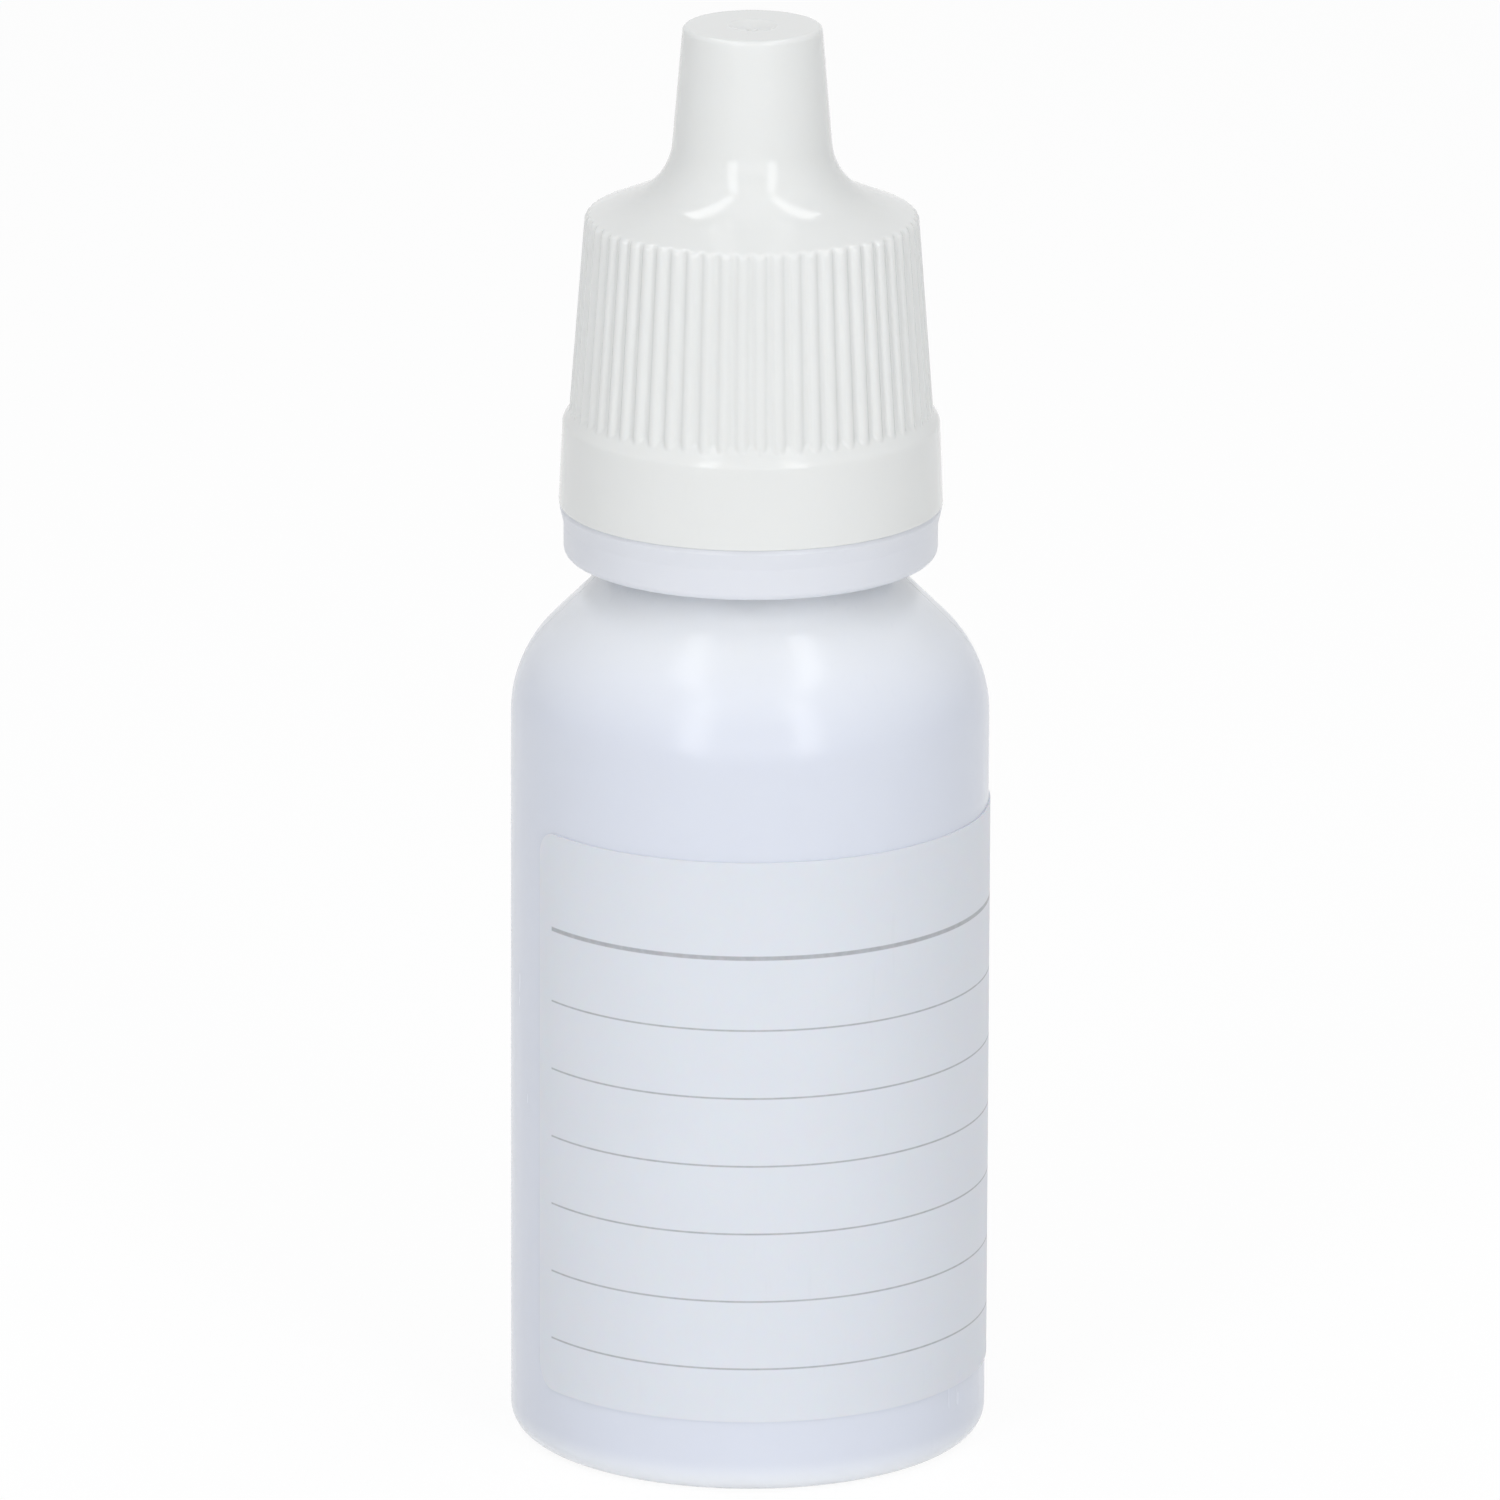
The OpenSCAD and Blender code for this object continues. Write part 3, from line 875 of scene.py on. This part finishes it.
class EYEDROP_OT_bottle(bpy.types.Operator):
    """Turn the squeeze bottle and wind the thread on its neck"""

    bl_idname = "eyedrop.bottle"
    bl_label = "Bottle"

    def execute(self, context):
        s = context.scene.eyedrop_bottle
        ring = context.scene.eyedrop_ring
        angle = math.degrees(s.shoulder_slope)
        rise = math.tan(s.shoulder_slope)
        curve = (s.body_radius - s.shoulder_round, s.wall_top)
        inner_round = s.shoulder_round - s.wall
        cone_foot = on_arc(curve, s.shoulder_round, 90 - angle)
        inner_foot = on_arc(curve, inner_round, 90 - angle)
        neck_foot = cone_foot[1] + (cone_foot[0] - s.neck_radius) * rise
        bore_foot = inner_foot[1] + (inner_foot[0] - s.neck_bore) * rise
        recess = s.body_radius - s.foot_round - s.foot_width
        inner = s.body_radius - s.wall
        floor = s.push_up + s.wall
        bead = ring.bottom + ring.height + ring.slit
        foot = rounded(
            [
                (0, s.push_up),
                (recess - s.push_up, s.push_up, s.push_up_round),
                (recess, 0, s.foot_edge),
                (s.body_radius - s.foot_round, 0),
            ]
        )
        outside = (
            foot[:-1]
            + arc((s.body_radius - s.foot_round, s.foot_round), s.foot_round, -90, 0)
            + rows((s.body_radius, s.foot_round), (s.body_radius, s.wall_top), 6)
            + arc(curve, s.shoulder_round, 0, 90 - angle, 14)
        )
        neck = rounded(
            [
                cone_foot,
                (s.neck_radius, neck_foot, SOFT_EDGE),
                (s.neck_radius, bead, SHARP_EDGE),
                (s.bead_radius, bead, SHARP_EDGE),
                (s.bead_radius, bead + s.bead_edge, EASED_EDGE),
                (s.neck_radius, bead + s.bead_height, SOFT_EDGE),
                (s.neck_radius, s.neck_top, SOFT_EDGE),
                (s.neck_bore, s.neck_top, FINE_EDGE),
                (s.neck_bore, bore_foot, FULL_EDGE),
                inner_foot,
            ]
        )
        inside = (
            arc(curve, inner_round, 90 - angle, 0, 10)
            + arc((inner - s.floor_round, floor + s.floor_round), s.floor_round, 0, -90, 8)
            + [(0, floor)]
        )
        shell = turned(outside + neck[1:-1] + inside, steps=192)
        root = s.neck_radius - s.thread_sink
        thread = screw_thread(s, root, s.neck_radius + s.thread_depth, s.neck_top - s.thread_drop)
        finished(shell, "squeeze_bottle", "bottle", "bottle_plastic", ["bottle"])
        finished(thread, "neck_thread", "bottle", "bottle_plastic")
        finished(self.pinch_line(s), "pinch_line", "bottle", "bottle_plastic")
        return {"FINISHED"}

    def pinch_line(self, s):
        """The low ridge under the bottle, where the mould pinched the tube of plastic shut."""
        half = 1.5 * s.pinch_height
        root = s.push_up + s.pinch_sink
        flank = s.push_up - 0.6 * s.pinch_height
        crest = s.push_up - s.pinch_height
        rise = [(-half, root), (-0.8 * half, flank), (-0.3 * half, crest)]
        draw(rise + [(-r, z) for r, z in reversed(rise)])
        bpy.ops.mesh.edge_face_add()
        bpy.ops.transform.translate(value=(0, -s.pinch_length / 2, 0))
        bpy.ops.mesh.extrude_region_move(TRANSFORM_OT_translate={"value": (0, s.pinch_length, 0)})
        weld()
        turn_round(-math.pi / 2)
        return off_bench()


# Dropper


class EYEDROP_OT_dropper(bpy.types.Operator):
    """Turn the dropper: a plug with sealing beads, a flange and a nozzle with its drop hole"""

    bl_idname = "eyedrop.dropper"
    bl_label = "Dropper"

    def execute(self, context):
        s = context.scene.eyedrop_dropper
        b = context.scene.eyedrop_bottle
        rim = b.neck_top
        top = rim + s.flange
        tip = top + s.nozzle_height
        plug = b.neck_bore - s.plug_gap - s.plug_bead
        bore = plug - s.plug_wall
        end = rim - s.plug_height
        flange = b.neck_radius - s.flange_inset
        fillet = s.flange
        slim = (s.nozzle_base - s.nozzle_tip) / s.nozzle_height
        foot = s.nozzle_tip + (tip - top - fillet) * slim
        outline = [(bore, end), (plug - s.plug_wall / 2, end), (plug, end + s.plug_wall / 2)]
        for share in (0.7, 0.3):
            middle = rim - share * s.plug_height
            outline += [
                (
                    plug + s.plug_bead * math.sin(math.pi * i / 8),
                    middle + 2 * s.plug_bead * (i / 4 - 1),
                )
                for i in range(9)
            ]
        outline += rounded(
            [
                (plug, rim - s.plug_bead),
                (plug, rim, THIN_EDGE),
                (flange, rim, SHARP_EDGE),
                (flange, top, SOFT_EDGE),
                (foot + fillet, top),
            ]
        )
        outline += arc((foot + fillet, top + fillet), fillet, 270, 180, 8)[1:]
        edge = s.nozzle_round
        outline += arc((s.nozzle_tip - edge, tip - edge), edge, 0, 90, 8)
        outline += rounded(
            [
                (s.nozzle_tip - 1.04 * edge, tip),
                (s.drop_cup, tip, FINE_EDGE),
                (s.drop_hole, tip - s.drop_cup_depth, FINE_EDGE),
                (s.drop_hole, tip - 2 * s.drop_cup_depth, THIN_EDGE),
                (s.nozzle_tip - 2 * s.drop_hole, tip - 2.9 * s.drop_cup_depth, SMALL_EDGE),
                (s.nozzle_tip - 2 * s.drop_hole + fillet / 2, top, BROAD_EDGE),
                (bore, rim - fillet, FULL_EDGE),
                (bore, end),
            ],
            4,
        )
        piece = turned(outline, steps=128)
        finished(piece, "dropper", "bottle", "dropper_plastic", ["dropper_insert"])
        return {"FINISHED"}


# Tamper ring


class EYEDROP_OT_ring(bpy.types.Operator):
    """Turn the tamper-evident ring, with the hooks under the bead and the bridges to the cap"""

    bl_idname = "eyedrop.ring"
    bl_label = "Tamper Ring"

    def execute(self, context):
        s = context.scene.eyedrop_ring
        b = context.scene.eyedrop_bottle
        lip = lip_radius(context)
        bore = b.bead_radius + s.bead_gap
        wall = lip - s.inset
        top = s.bottom + s.height
        # The slit is a scored groove: behind its mouth the ring rises nearly to the lip
        web = top + s.slit - s.web_gap
        outline = rounded(
            [
                (bore, top - s.round),
                (bore, s.bottom, FINE_EDGE),
                (wall, s.bottom, s.round),
                (wall, top - s.bevel, SOFT_EDGE),
                (lip - s.inset / 4, top - s.slit, CRISP_EDGE),
                (lip - 0.45 * s.inset, top, HAIR_EDGE),
                (lip - 0.55 * s.inset, web, HAIR_EDGE),
                (bore, web, FINE_EDGE),
                (bore, top - s.round),
            ]
        )
        band = turned(outline, steps=192)
        hooks = self.hook_pieces(s, b, bore)
        bridges = self.bridge_pieces(s, top, lip - s.inset - s.bridge_width)
        piece = join([band, hooks, bridges])
        finished(piece, "tamper_band", "tamper_ring", "ring_plastic", ["tamper_ring"])
        return {"FINISHED"}

    def hook_pieces(self, s, b, bore):
        """One hook is spun from its section and copied round the ring."""
        root = bore + s.hook_sink
        tip = b.neck_radius + s.bead_gap
        high = s.bottom + s.height + s.slit - s.hook_gap
        section = [
            (root, s.bottom + s.round),
            (bore, s.bottom + s.round),
            (tip, high - s.hook_height),
            (tip, high - s.hook_edge),
            (tip + s.hook_edge, high),
            (root, high),
        ]
        sweep = 2 * math.pi / s.hooks - s.hook_slot / tip
        draw(section)
        bpy.ops.mesh.edge_face_add()
        bpy.ops.mesh.spin(steps=16, angle=sweep, center=MIDDLE, axis=AXIS)
        weld()
        turn_round(-s.hook_slot / tip / 2)
        spin_copies(s.hooks)
        return off_bench()

    def bridge_pieces(self, s, top, reach):
        """One thin bridge is cut from a block and copied round the ring."""
        clear_bench()
        middle = top + s.slit / 2 - s.bridge_sink
        bpy.ops.mesh.primitive_cube_add(size=1, location=(reach + s.bridge_width / 2, 0, middle))
        bpy.ops.transform.resize(
            value=(s.bridge_width, s.bridge_width, s.slit + 2 * s.bridge_sink)
        )
        bpy.ops.object.transform_apply(location=True, rotation=True, scale=True)
        bpy.ops.object.mode_set(mode="EDIT")
        bpy.ops.mesh.select_all(action="SELECT")
        bpy.ops.mesh.bevel(offset=HAIR_EDGE, segments=2)
        weld()
        spin_copies(s.bridges)
        return off_bench()


# Cap


def cap_stations(context):
    """Heights and radii that the cap's outside and inside share."""
    s = context.scene.eyedrop_cap
    b = context.scene.eyedrop_bottle
    d = context.scene.eyedrop_dropper
    ring = context.scene.eyedrop_ring
    flange_top = b.neck_top + d.flange
    tip = flange_top + d.nozzle_height
    chamber = flange_top + s.roof_room
    skirt = s.bore + s.skirt_wall
    corner = chamber + s.roof / math.cos(s.roof_slope) - s.skirt_wall * math.tan(s.roof_slope)
    lip_z = ring.bottom + ring.height + ring.slit
    band_top = lip_z + s.band_height
    grip = band_top + s.step_height
    return {
        "flange_top": flange_top,
        "tip": tip,
        "chamber": chamber,
        "skirt": skirt,
        "corner": corner,
        "lip_z": lip_z,
        "band_top": band_top,
        "grip": grip,
        "cavity_top": tip + s.roof_room + s.seat + s.pin,
    }


def skirt_at(s, at, z):
    """Radius of the rib crests at a height."""
    return at["skirt"] + (at["corner"] - z) * math.tan(s.skirt_draft)


def step_at(s, at, z):
    """Radius at a height on the half wave between the band and the grooves' floor."""
    crest = skirt_at(s, at, at["grip"])
    turn = math.pi * (z - at["band_top"]) / s.step_height
    return crest + s.band_step - (s.band_step + s.rib_height) * (1 - math.cos(turn)) / 2


def roof_meets(s, at, radius, draft):
    """Height where a wall with this radius at z = 0 and this draft meets the shoulder's slope."""
    roof = math.tan(s.roof_slope)
    return (at["corner"] + (at["skirt"] - radius) * roof) / (1 - math.tan(draft) * roof)


def corner_centre(s, corner, radius):
    """Centre of the curve that rounds a corner between the ribbed skirt and the shoulder."""
    faces = (
        (math.cos(s.skirt_draft), math.sin(s.skirt_draft)),
        (math.sin(s.roof_slope), math.cos(s.roof_slope)),
    )
    share = radius / (1 + faces[0][0] * faces[1][0] + faces[0][1] * faces[1][1])
    return tuple(corner[i] - share * (faces[0][i] + faces[1][i]) for i in range(2))


def nose_at(s, z):
    """Radius of the nose at a height."""
    return s.nose_radius + (s.nose_top - z) * math.tan(s.nose_draft)


def lip_radius(context):
    """Radius of the cap's lower edge."""
    s = context.scene.eyedrop_cap
    at = cap_stations(context)
    return skirt_at(s, at, at["grip"]) + s.band_step + s.band_height * math.tan(s.band_draft)


class EYEDROP_OT_cap(bpy.types.Operator):
    """Shape one rib of the cap, copy it round, and close the shell with its threaded inside"""

    bl_idname = "eyedrop.cap"
    bl_label = "Screw Cap"

    def execute(self, context):
        s = context.scene.eyedrop_cap
        b = context.scene.eyedrop_bottle
        at = cap_stations(context)
        outer = self.ribbed_outside(context, s, at)
        inner = turned(self.inside(context, s, b, at), steps=120)
        shell = join([outer, inner])
        bpy.ops.object.mode_set(mode="EDIT")
        bpy.ops.mesh.select_mode(type="EDGE")
        bpy.ops.mesh.select_all(action="DESELECT")
        bpy.ops.mesh.select_non_manifold()
        bpy.ops.mesh.bridge_edge_loops()
        weld()
        shell = off_bench()
        finished(shell, "nosed_cap", "screw_cap", "cap_plastic", ["screw_cap"], sharp=65)
        low = b.neck_top - b.thread_drop - s.thread_under
        thread = screw_thread(b, s.bore + b.thread_sink, s.bore - s.thread_depth, low)
        finished(thread, "cap_thread", "screw_cap", "cap_plastic")
        return {"FINISHED"}

    def outside(self, context, s, at):
        """The cap's outside in section, from the lip up to the middle of the nose's end."""
        foot_z = roof_meets(s, at, nose_at(s, 0), s.nose_draft)
        lip = lip_radius(context)
        start = (skirt_at(s, at, at["grip"]), at["grip"])
        band = start[0] + s.band_step
        rib_end = corner_centre(s, (at["skirt"], at["corner"]), s.rib_round)
        corner = arc(
            rib_end, s.rib_round, math.degrees(s.skirt_draft), 90 - math.degrees(s.roof_slope), 7
        )
        groove_top = self.groove_end(s, at)[1]
        level = (
            at["skirt"] - (groove_top - at["corner"]) / math.tan(s.roof_slope), groove_top
        )
        curve = (s.dimple**2 + s.dimple_depth**2) / (2 * s.dimple_depth)
        half = math.degrees(math.asin(s.dimple / curve))
        low, high = at["lip_z"], at["band_top"]
        edge = rounded([(lip - s.lip_flat, low), (lip, low, s.lip_round), (band, high)], 4)
        points = edge[:-1] + rows((lip, low + THIN_EDGE), (band, high), 3)
        steps = 14
        for i in range(steps + 1):
            z = high + s.step_height * i / steps
            points.append((max(step_at(s, at, z), skirt_at(s, at, z)), z))
        points += rows(start, corner[0], 6) + corner + rows(corner[-1], level, 1)
        points += rounded(
            [
                corner[-1],
                level + (0.01 * MM,),
                (nose_at(s, foot_z), foot_z, s.nose_fillet),
                (s.nose_radius, s.nose_top, s.nose_round),
                (s.dimple, s.nose_top, SMALL_EDGE),
                on_arc((0, s.nose_top - s.dimple_depth + curve), curve, 270 + half / 2),
            ],
            10,
        )[1:-1]
        # The dimple ends in the small stub that the mould's gate leaves
        floor = s.nose_top - s.dimple_depth
        points += arc((0, floor + curve), curve, 270 + half / 2, 270 + half / 4, 3)[:-1]
        points += rounded(
            [
                on_arc((0, floor + curve), curve, 270 + half / 4),
                (s.gate, floor + 0.2 * s.gate_height, CRISP_EDGE),
                (0.8 * s.gate, floor + s.gate_height, 0.4 * s.gate_height),
                (0, floor + 0.8 * s.gate_height),
            ],
            3,
        )
        return points

    def ribbed_outside(self, context, s, at):
        """Spins one pitch of the outside, presses its two half grooves, and copies it round."""
        columns = 12
        pitch = 2 * math.pi / s.grip_ribs
        outline = held(self.outside(context, s, at))
        draw(outline)
        bpy.ops.mesh.spin(steps=columns, angle=pitch, center=MIDDLE, axis=AXIS)
        heights = {}
        for r, z in outline:
            if at["band_top"] < z < self.groove_end(s, at)[1] - SAME:
                heights[z] = r
        for z, r in heights.items():
            for k in range(columns // 2):
                goal = self.groove_radius(s, at, z, r, pitch * (0.5 - k / columns))
                if goal > r - SAME / 10:
                    continue
                select_points(
                    lambda p: abs(p.z - z) < SAME
                    and min(abs(self.column(p, pitch, columns) - c) for c in (k, columns - k)) < 0.2
                )
                swell(goal / r)
        spin_copies(s.grip_ribs)
        weld()
        return off_bench()

    def column(self, p, pitch, columns):
        """Which column of its pitch a point is in, counted from the x axis to either side."""
        return abs(math.atan2(p.y, p.x)) / pitch * columns

    def groove_radius(self, s, at, z, r, off):
        """Radius at an angle off a rib's middle: a half-round rib, its groove, and the step below."""
        across = skirt_at(s, at, z) * off
        rise = s.rib_round - s.rib_height
        rib = max(0.0, math.sqrt(max(0.0, s.rib_round**2 - across**2)) - rise) / s.rib_height
        if z < at["grip"]:
            return min(r, max(step_at(s, at, z), skirt_at(s, at, z) - s.rib_height * (1 - rib)))
        return r - (r - self.groove_at(s, at, z, r)) * (1 - rib)

    def groove_end(self, s, at):
        """Centre of the curve at a groove's upper end, and the height where it meets the shoulder."""
        z = roof_meets(s, at, skirt_at(s, at, 0) - s.rib_height, s.skirt_draft)
        centre = corner_centre(s, (skirt_at(s, at, z) - s.rib_height, z), s.corner_round)
        return centre, centre[1] + s.corner_round * math.cos(s.roof_slope)

    def groove_at(self, s, at, z, r):
        """Radius of a groove's floor at a height."""
        centre, top = self.groove_end(s, at)
        if z < centre[1] + s.corner_round * math.sin(s.skirt_draft):
            return skirt_at(s, at, z) - s.rib_height
        return min(r, centre[0] + math.sqrt(max(0.0, s.corner_round**2 - (z - centre[1]) ** 2)))

    def inside(self, context, s, b, at):
        """The cap's inside in section, from the lip up to the end of the sealing pin."""
        d = context.scene.eyedrop_dropper
        ring = context.scene.eyedrop_ring

        def under(r):
            """Height of the roof's inside at a radius."""
            return at["chamber"] + (s.bore - r) * math.tan(s.roof_slope)

        ring_bore = b.bead_radius + ring.bead_gap
        root = d.drop_cup - s.seat
        seat = at["tip"] - d.drop_cup_depth + s.seat
        end = seat - d.drop_cup_depth
        steep = (d.drop_cup - d.drop_hole) / d.drop_cup_depth
        cavity = nose_at(s, at["chamber"]) - s.nose_wall
        plug_bore = b.neck_bore - d.plug_gap - d.plug_bead - d.plug_wall
        seal = (b.neck_bore - plug_bore) / 4
        seal_end = at["flange_top"] + s.seat
        return rounded(
            [
                (ring_bore, at["lip_z"]),
                (ring_bore, at["band_top"], SMALL_EDGE),
                (s.bore, at["grip"], WIDE_EDGE),
                (s.bore, at["chamber"], WIDE_EDGE),
                (b.neck_bore, under(b.neck_bore), SHARP_EDGE),
                (b.neck_bore - seal, seal_end, EASED_EDGE),
                (plug_bore + seal, seal_end, EASED_EDGE),
                (plug_bore, under(plug_bore), SHARP_EDGE),
                (cavity, under(cavity), WIDE_EDGE),
                (nose_at(s, at["cavity_top"]) - s.nose_wall, at["cavity_top"], SOFT_EDGE),
                (root, at["cavity_top"], EASED_EDGE),
                (root, seat + (root - s.pin) / steep, CRISP_EDGE),
                (s.pin, seat, CRISP_EDGE),
                (s.pin, end, SMALL_EDGE),
                (0, end),
            ]
        )


# Label


class EYEDROP_OT_label(bpy.types.Operator):
    """Wrap the label's film round the bottle, with round corners"""

    bl_idname = "eyedrop.label"
    bl_label = "Label"

    def execute(self, context):
        s = context.scene.eyedrop_label
        b = context.scene.eyedrop_bottle
        # The adhesive is part of the sheet, whose inside lies just in the bottle's surface
        film = b.body_radius - s.sink
        sweep = s.width / b.body_radius
        corner = s.corner / b.body_radius
        middle = (0, 0, s.bottom + s.height / 2)
        low = (film, s.bottom)
        high = (film, s.bottom + s.height)
        draw([low] + rows(low, high, 5) + [high])
        turn_round(s.start + corner)
        bpy.ops.mesh.spin(steps=150, angle=2 * corner - sweep, center=MIDDLE, axis=AXIS)
        bpy.ops.mesh.select_all(action="SELECT")
        bpy.ops.mesh.remove_doubles(threshold=SAME)
        self.round_end(s, corner, middle, s.start + corner, -1)
        self.round_end(s, corner, middle, s.start + sweep - corner, 1)
        weld()
        piece = off_bench()
        bpy.ops.object.modifier_add(type="SOLIDIFY")
        thick = piece.modifiers[-1]
        thick.thickness = s.film + s.glue + s.sink
        thick.offset = 1.0
        bpy.ops.object.modifier_apply(modifier=thick.name)
        self.flat_map(piece, s, b)
        finished(piece, "label_sheet", "bottle", "label_film", ["label"], sharp=40)
        return {"FINISHED"}

    def round_end(self, s, corner, middle, angle, side):
        """Carries one end on round its corners: each new column is a little shorter."""
        steps = 8
        turned_by, tall_by = 0.0, 1.0
        near = 0.0001

        def at_end(p):
            """Whether a point is in the end column, within a small angle."""
            off = (math.atan2(p.y, p.x) - angle + math.pi) % (2 * math.pi) - math.pi
            return abs(off) < near

        select_points(at_end)
        for k in range(1, steps + 1):
            turn = math.pi / 2 * k / steps
            ahead = corner * math.sin(turn)
            tall = 1 - 2 * s.corner * (1 - math.cos(turn)) / s.height
            bpy.ops.mesh.extrude_region_move()
            turn_round(side * (ahead - turned_by))
            bpy.ops.transform.resize(value=(1, 1, tall / tall_by), center_override=middle)
            turned_by, tall_by = ahead, tall

    def flat_map(self, piece, s, b):
        """Maps the label flat, in millimetres from its lower left corner."""
        sheet = piece.data.uv_layers.new(name="flat")
        spare = (2 * math.pi - s.width / b.body_radius) / 2
        for corner in piece.data.loops:
            p = piece.data.vertices[corner.vertex_index].co
            turn = (math.atan2(p.y, p.x) - s.start + spare) % (2 * math.pi) - spare
            sheet.data[corner.index].uv = (turn * b.body_radius / MM, (p.z - s.bottom) / MM)


# Stage

# Each lamp's place, the point that it faces, and its width and height
UPRIGHT = ((0.20, -0.37, 0.305), (0.0, 0.0, 0.305), (0.10, 0.50))
OVERHEAD = ((0.24, 0.0, 0.635), (0.24, 0.0, 0.0), (0.11, 0.68))
FRONT = ((0.0, -0.95, 0.15), (0.0, 0.0, 0.15), (1.0, 0.36))

# The camera's place, how far it looks down and how far it leans, in degrees, its sensor's
# width in millimetres, and the nearest and farthest that it sees
CAMERA_PLACE = (0.0, -0.7655, 0.2531)
CAMERA_DOWN = 16.04
CAMERA_LEAN = 0.21
SENSOR = 36.0
SIGHT = (0.01, 20.0)

FLOOR_SIZE = 3.0
SURROUND_TINT = (0.97, 0.985, 1.0)


class EYEDROP_OT_stage(bpy.types.Operator):
    """Set the white floor, the lamps, the white surround and the camera"""

    bl_idname = "eyedrop.stage"
    bl_label = "Stage"

    def execute(self, context):
        s = context.scene.eyedrop_studio
        clear_bench()
        bpy.ops.mesh.primitive_grid_add(
            x_subdivisions=8, y_subdivisions=8, size=FLOOR_SIZE, location=MIDDLE
        )
        floor = context.object
        floor.name = "floor"
        stage_white("stage_white")
        floor.data.materials.append(bpy.data.materials["stage_white"])
        self.surround(context, s)
        for side, name in ((-1, "left"), (1, "right")):
            self.lamp(name + "_upright", UPRIGHT, s.uprights, side)
            self.lamp(name + "_overhead", OVERHEAD, s.overhead, side)
        self.lamp("front_panel", FRONT, s.front)
        bpy.ops.object.camera_add(
            location=CAMERA_PLACE,
            rotation=(math.radians(90 - CAMERA_DOWN), 0.0, 0.0),
        )
        camera = context.object
        camera.name = "camera"
        camera.data.lens = s.lens
        camera.data.sensor_width = SENSOR
        camera.data.clip_start, camera.data.clip_end = SIGHT
        camera.rotation_euler.rotate_axis("Z", math.radians(CAMERA_LEAN))
        context.scene.camera = camera
        context.scene.view_settings.view_transform = "Standard"
        return {"FINISHED"}

    def surround(self, context, s):
        """A white world: plain white where the camera sees it, and a softer light on the object."""
        world = bpy.data.worlds.new("white_surround")
        context.scene.world = world
        world.use_nodes = True
        tree = world.node_tree
        tree.nodes.clear()
        lighting = add(
            tree, "ShaderNodeBackground", Color=rgba(SURROUND_TINT), Strength=s.surround
        )
        backdrop = add(tree, "ShaderNodeBackground", Color=(1.0, 1.0, 1.0, 1.0), Strength=1.0)
        mix_surface(tree, seen_mask(tree), lighting, backdrop, "ShaderNodeOutputWorld")

    def lamp(self, name, kind, power, side=1):
        """Adds a rectangular lamp on one side and points it."""
        place, target, size = kind
        place = (side * place[0],) + place[1:]
        target = (side * target[0],) + target[1:]
        bpy.ops.object.light_add(type="AREA", location=place)
        lamp = bpy.context.object
        lamp.name = name
        lamp.data.shape = "RECTANGLE"
        lamp.data.size, lamp.data.size_y = size
        lamp.data.energy = power
        away = [a - b for a, b in zip(place, target)]
        flat = math.hypot(away[0], away[1])
        lamp.rotation_euler = (
            math.atan2(flat, away[2]),
            0.0,
            math.atan2(away[0], -away[1]) if flat else 0.0,
        )


# Sidebar


STEPS = (
    EYEDROP_OT_finishes,
    EYEDROP_OT_bottle,
    EYEDROP_OT_dropper,
    EYEDROP_OT_ring,
    EYEDROP_OT_cap,
    EYEDROP_OT_label,
    EYEDROP_OT_stage,
)


class EYEDROP_PT_panel(bpy.types.Panel):
    """Eye drop bottle"""

    bl_label = "Eye Drop Bottle"
    bl_idname = "EYEDROP_PT_panel"
    bl_space_type = "VIEW_3D"
    bl_region_type = "UI"
    bl_category = "Eye Drops"

    def draw(self, context):
        for step in STEPS:
            self.layout.operator(step.bl_idname)
        for group in SETTINGS:
            settings = getattr(context.scene, group)
            box = self.layout.box()
            for name in settings.bl_rna.properties.keys():
                if name not in ("rna_type", "name"):
                    box.prop(settings, name)


SETTINGS = {
    "eyedrop_bottle": BottleSizes,
    "eyedrop_dropper": DropperSizes,
    "eyedrop_cap": CapSizes,
    "eyedrop_ring": RingSizes,
    "eyedrop_label": LabelSizes,
    "eyedrop_finishes": Finishes,
    "eyedrop_studio": Studio,
}


def register():
    for settings in SETTINGS.values():
        bpy.utils.register_class(settings)
    for name, settings in SETTINGS.items():
        setattr(bpy.types.Scene, name, PointerProperty(type=settings))
    for kind in (*STEPS, EYEDROP_PT_panel):
        bpy.utils.register_class(kind)


def unregister():
    for kind in reversed((*STEPS, EYEDROP_PT_panel)):
        bpy.utils.unregister_class(kind)
    for name in SETTINGS:
        delattr(bpy.types.Scene, name)
    for settings in reversed(list(SETTINGS.values())):
        bpy.utils.unregister_class(settings)


def main():
    register()
    bpy.ops.eyedrop.finishes()
    bpy.ops.eyedrop.bottle()
    bpy.ops.eyedrop.dropper()
    bpy.ops.eyedrop.ring()
    bpy.ops.eyedrop.cap()
    bpy.ops.eyedrop.label()
    bpy.ops.eyedrop.stage()


if __name__ == "__main__":
    main()
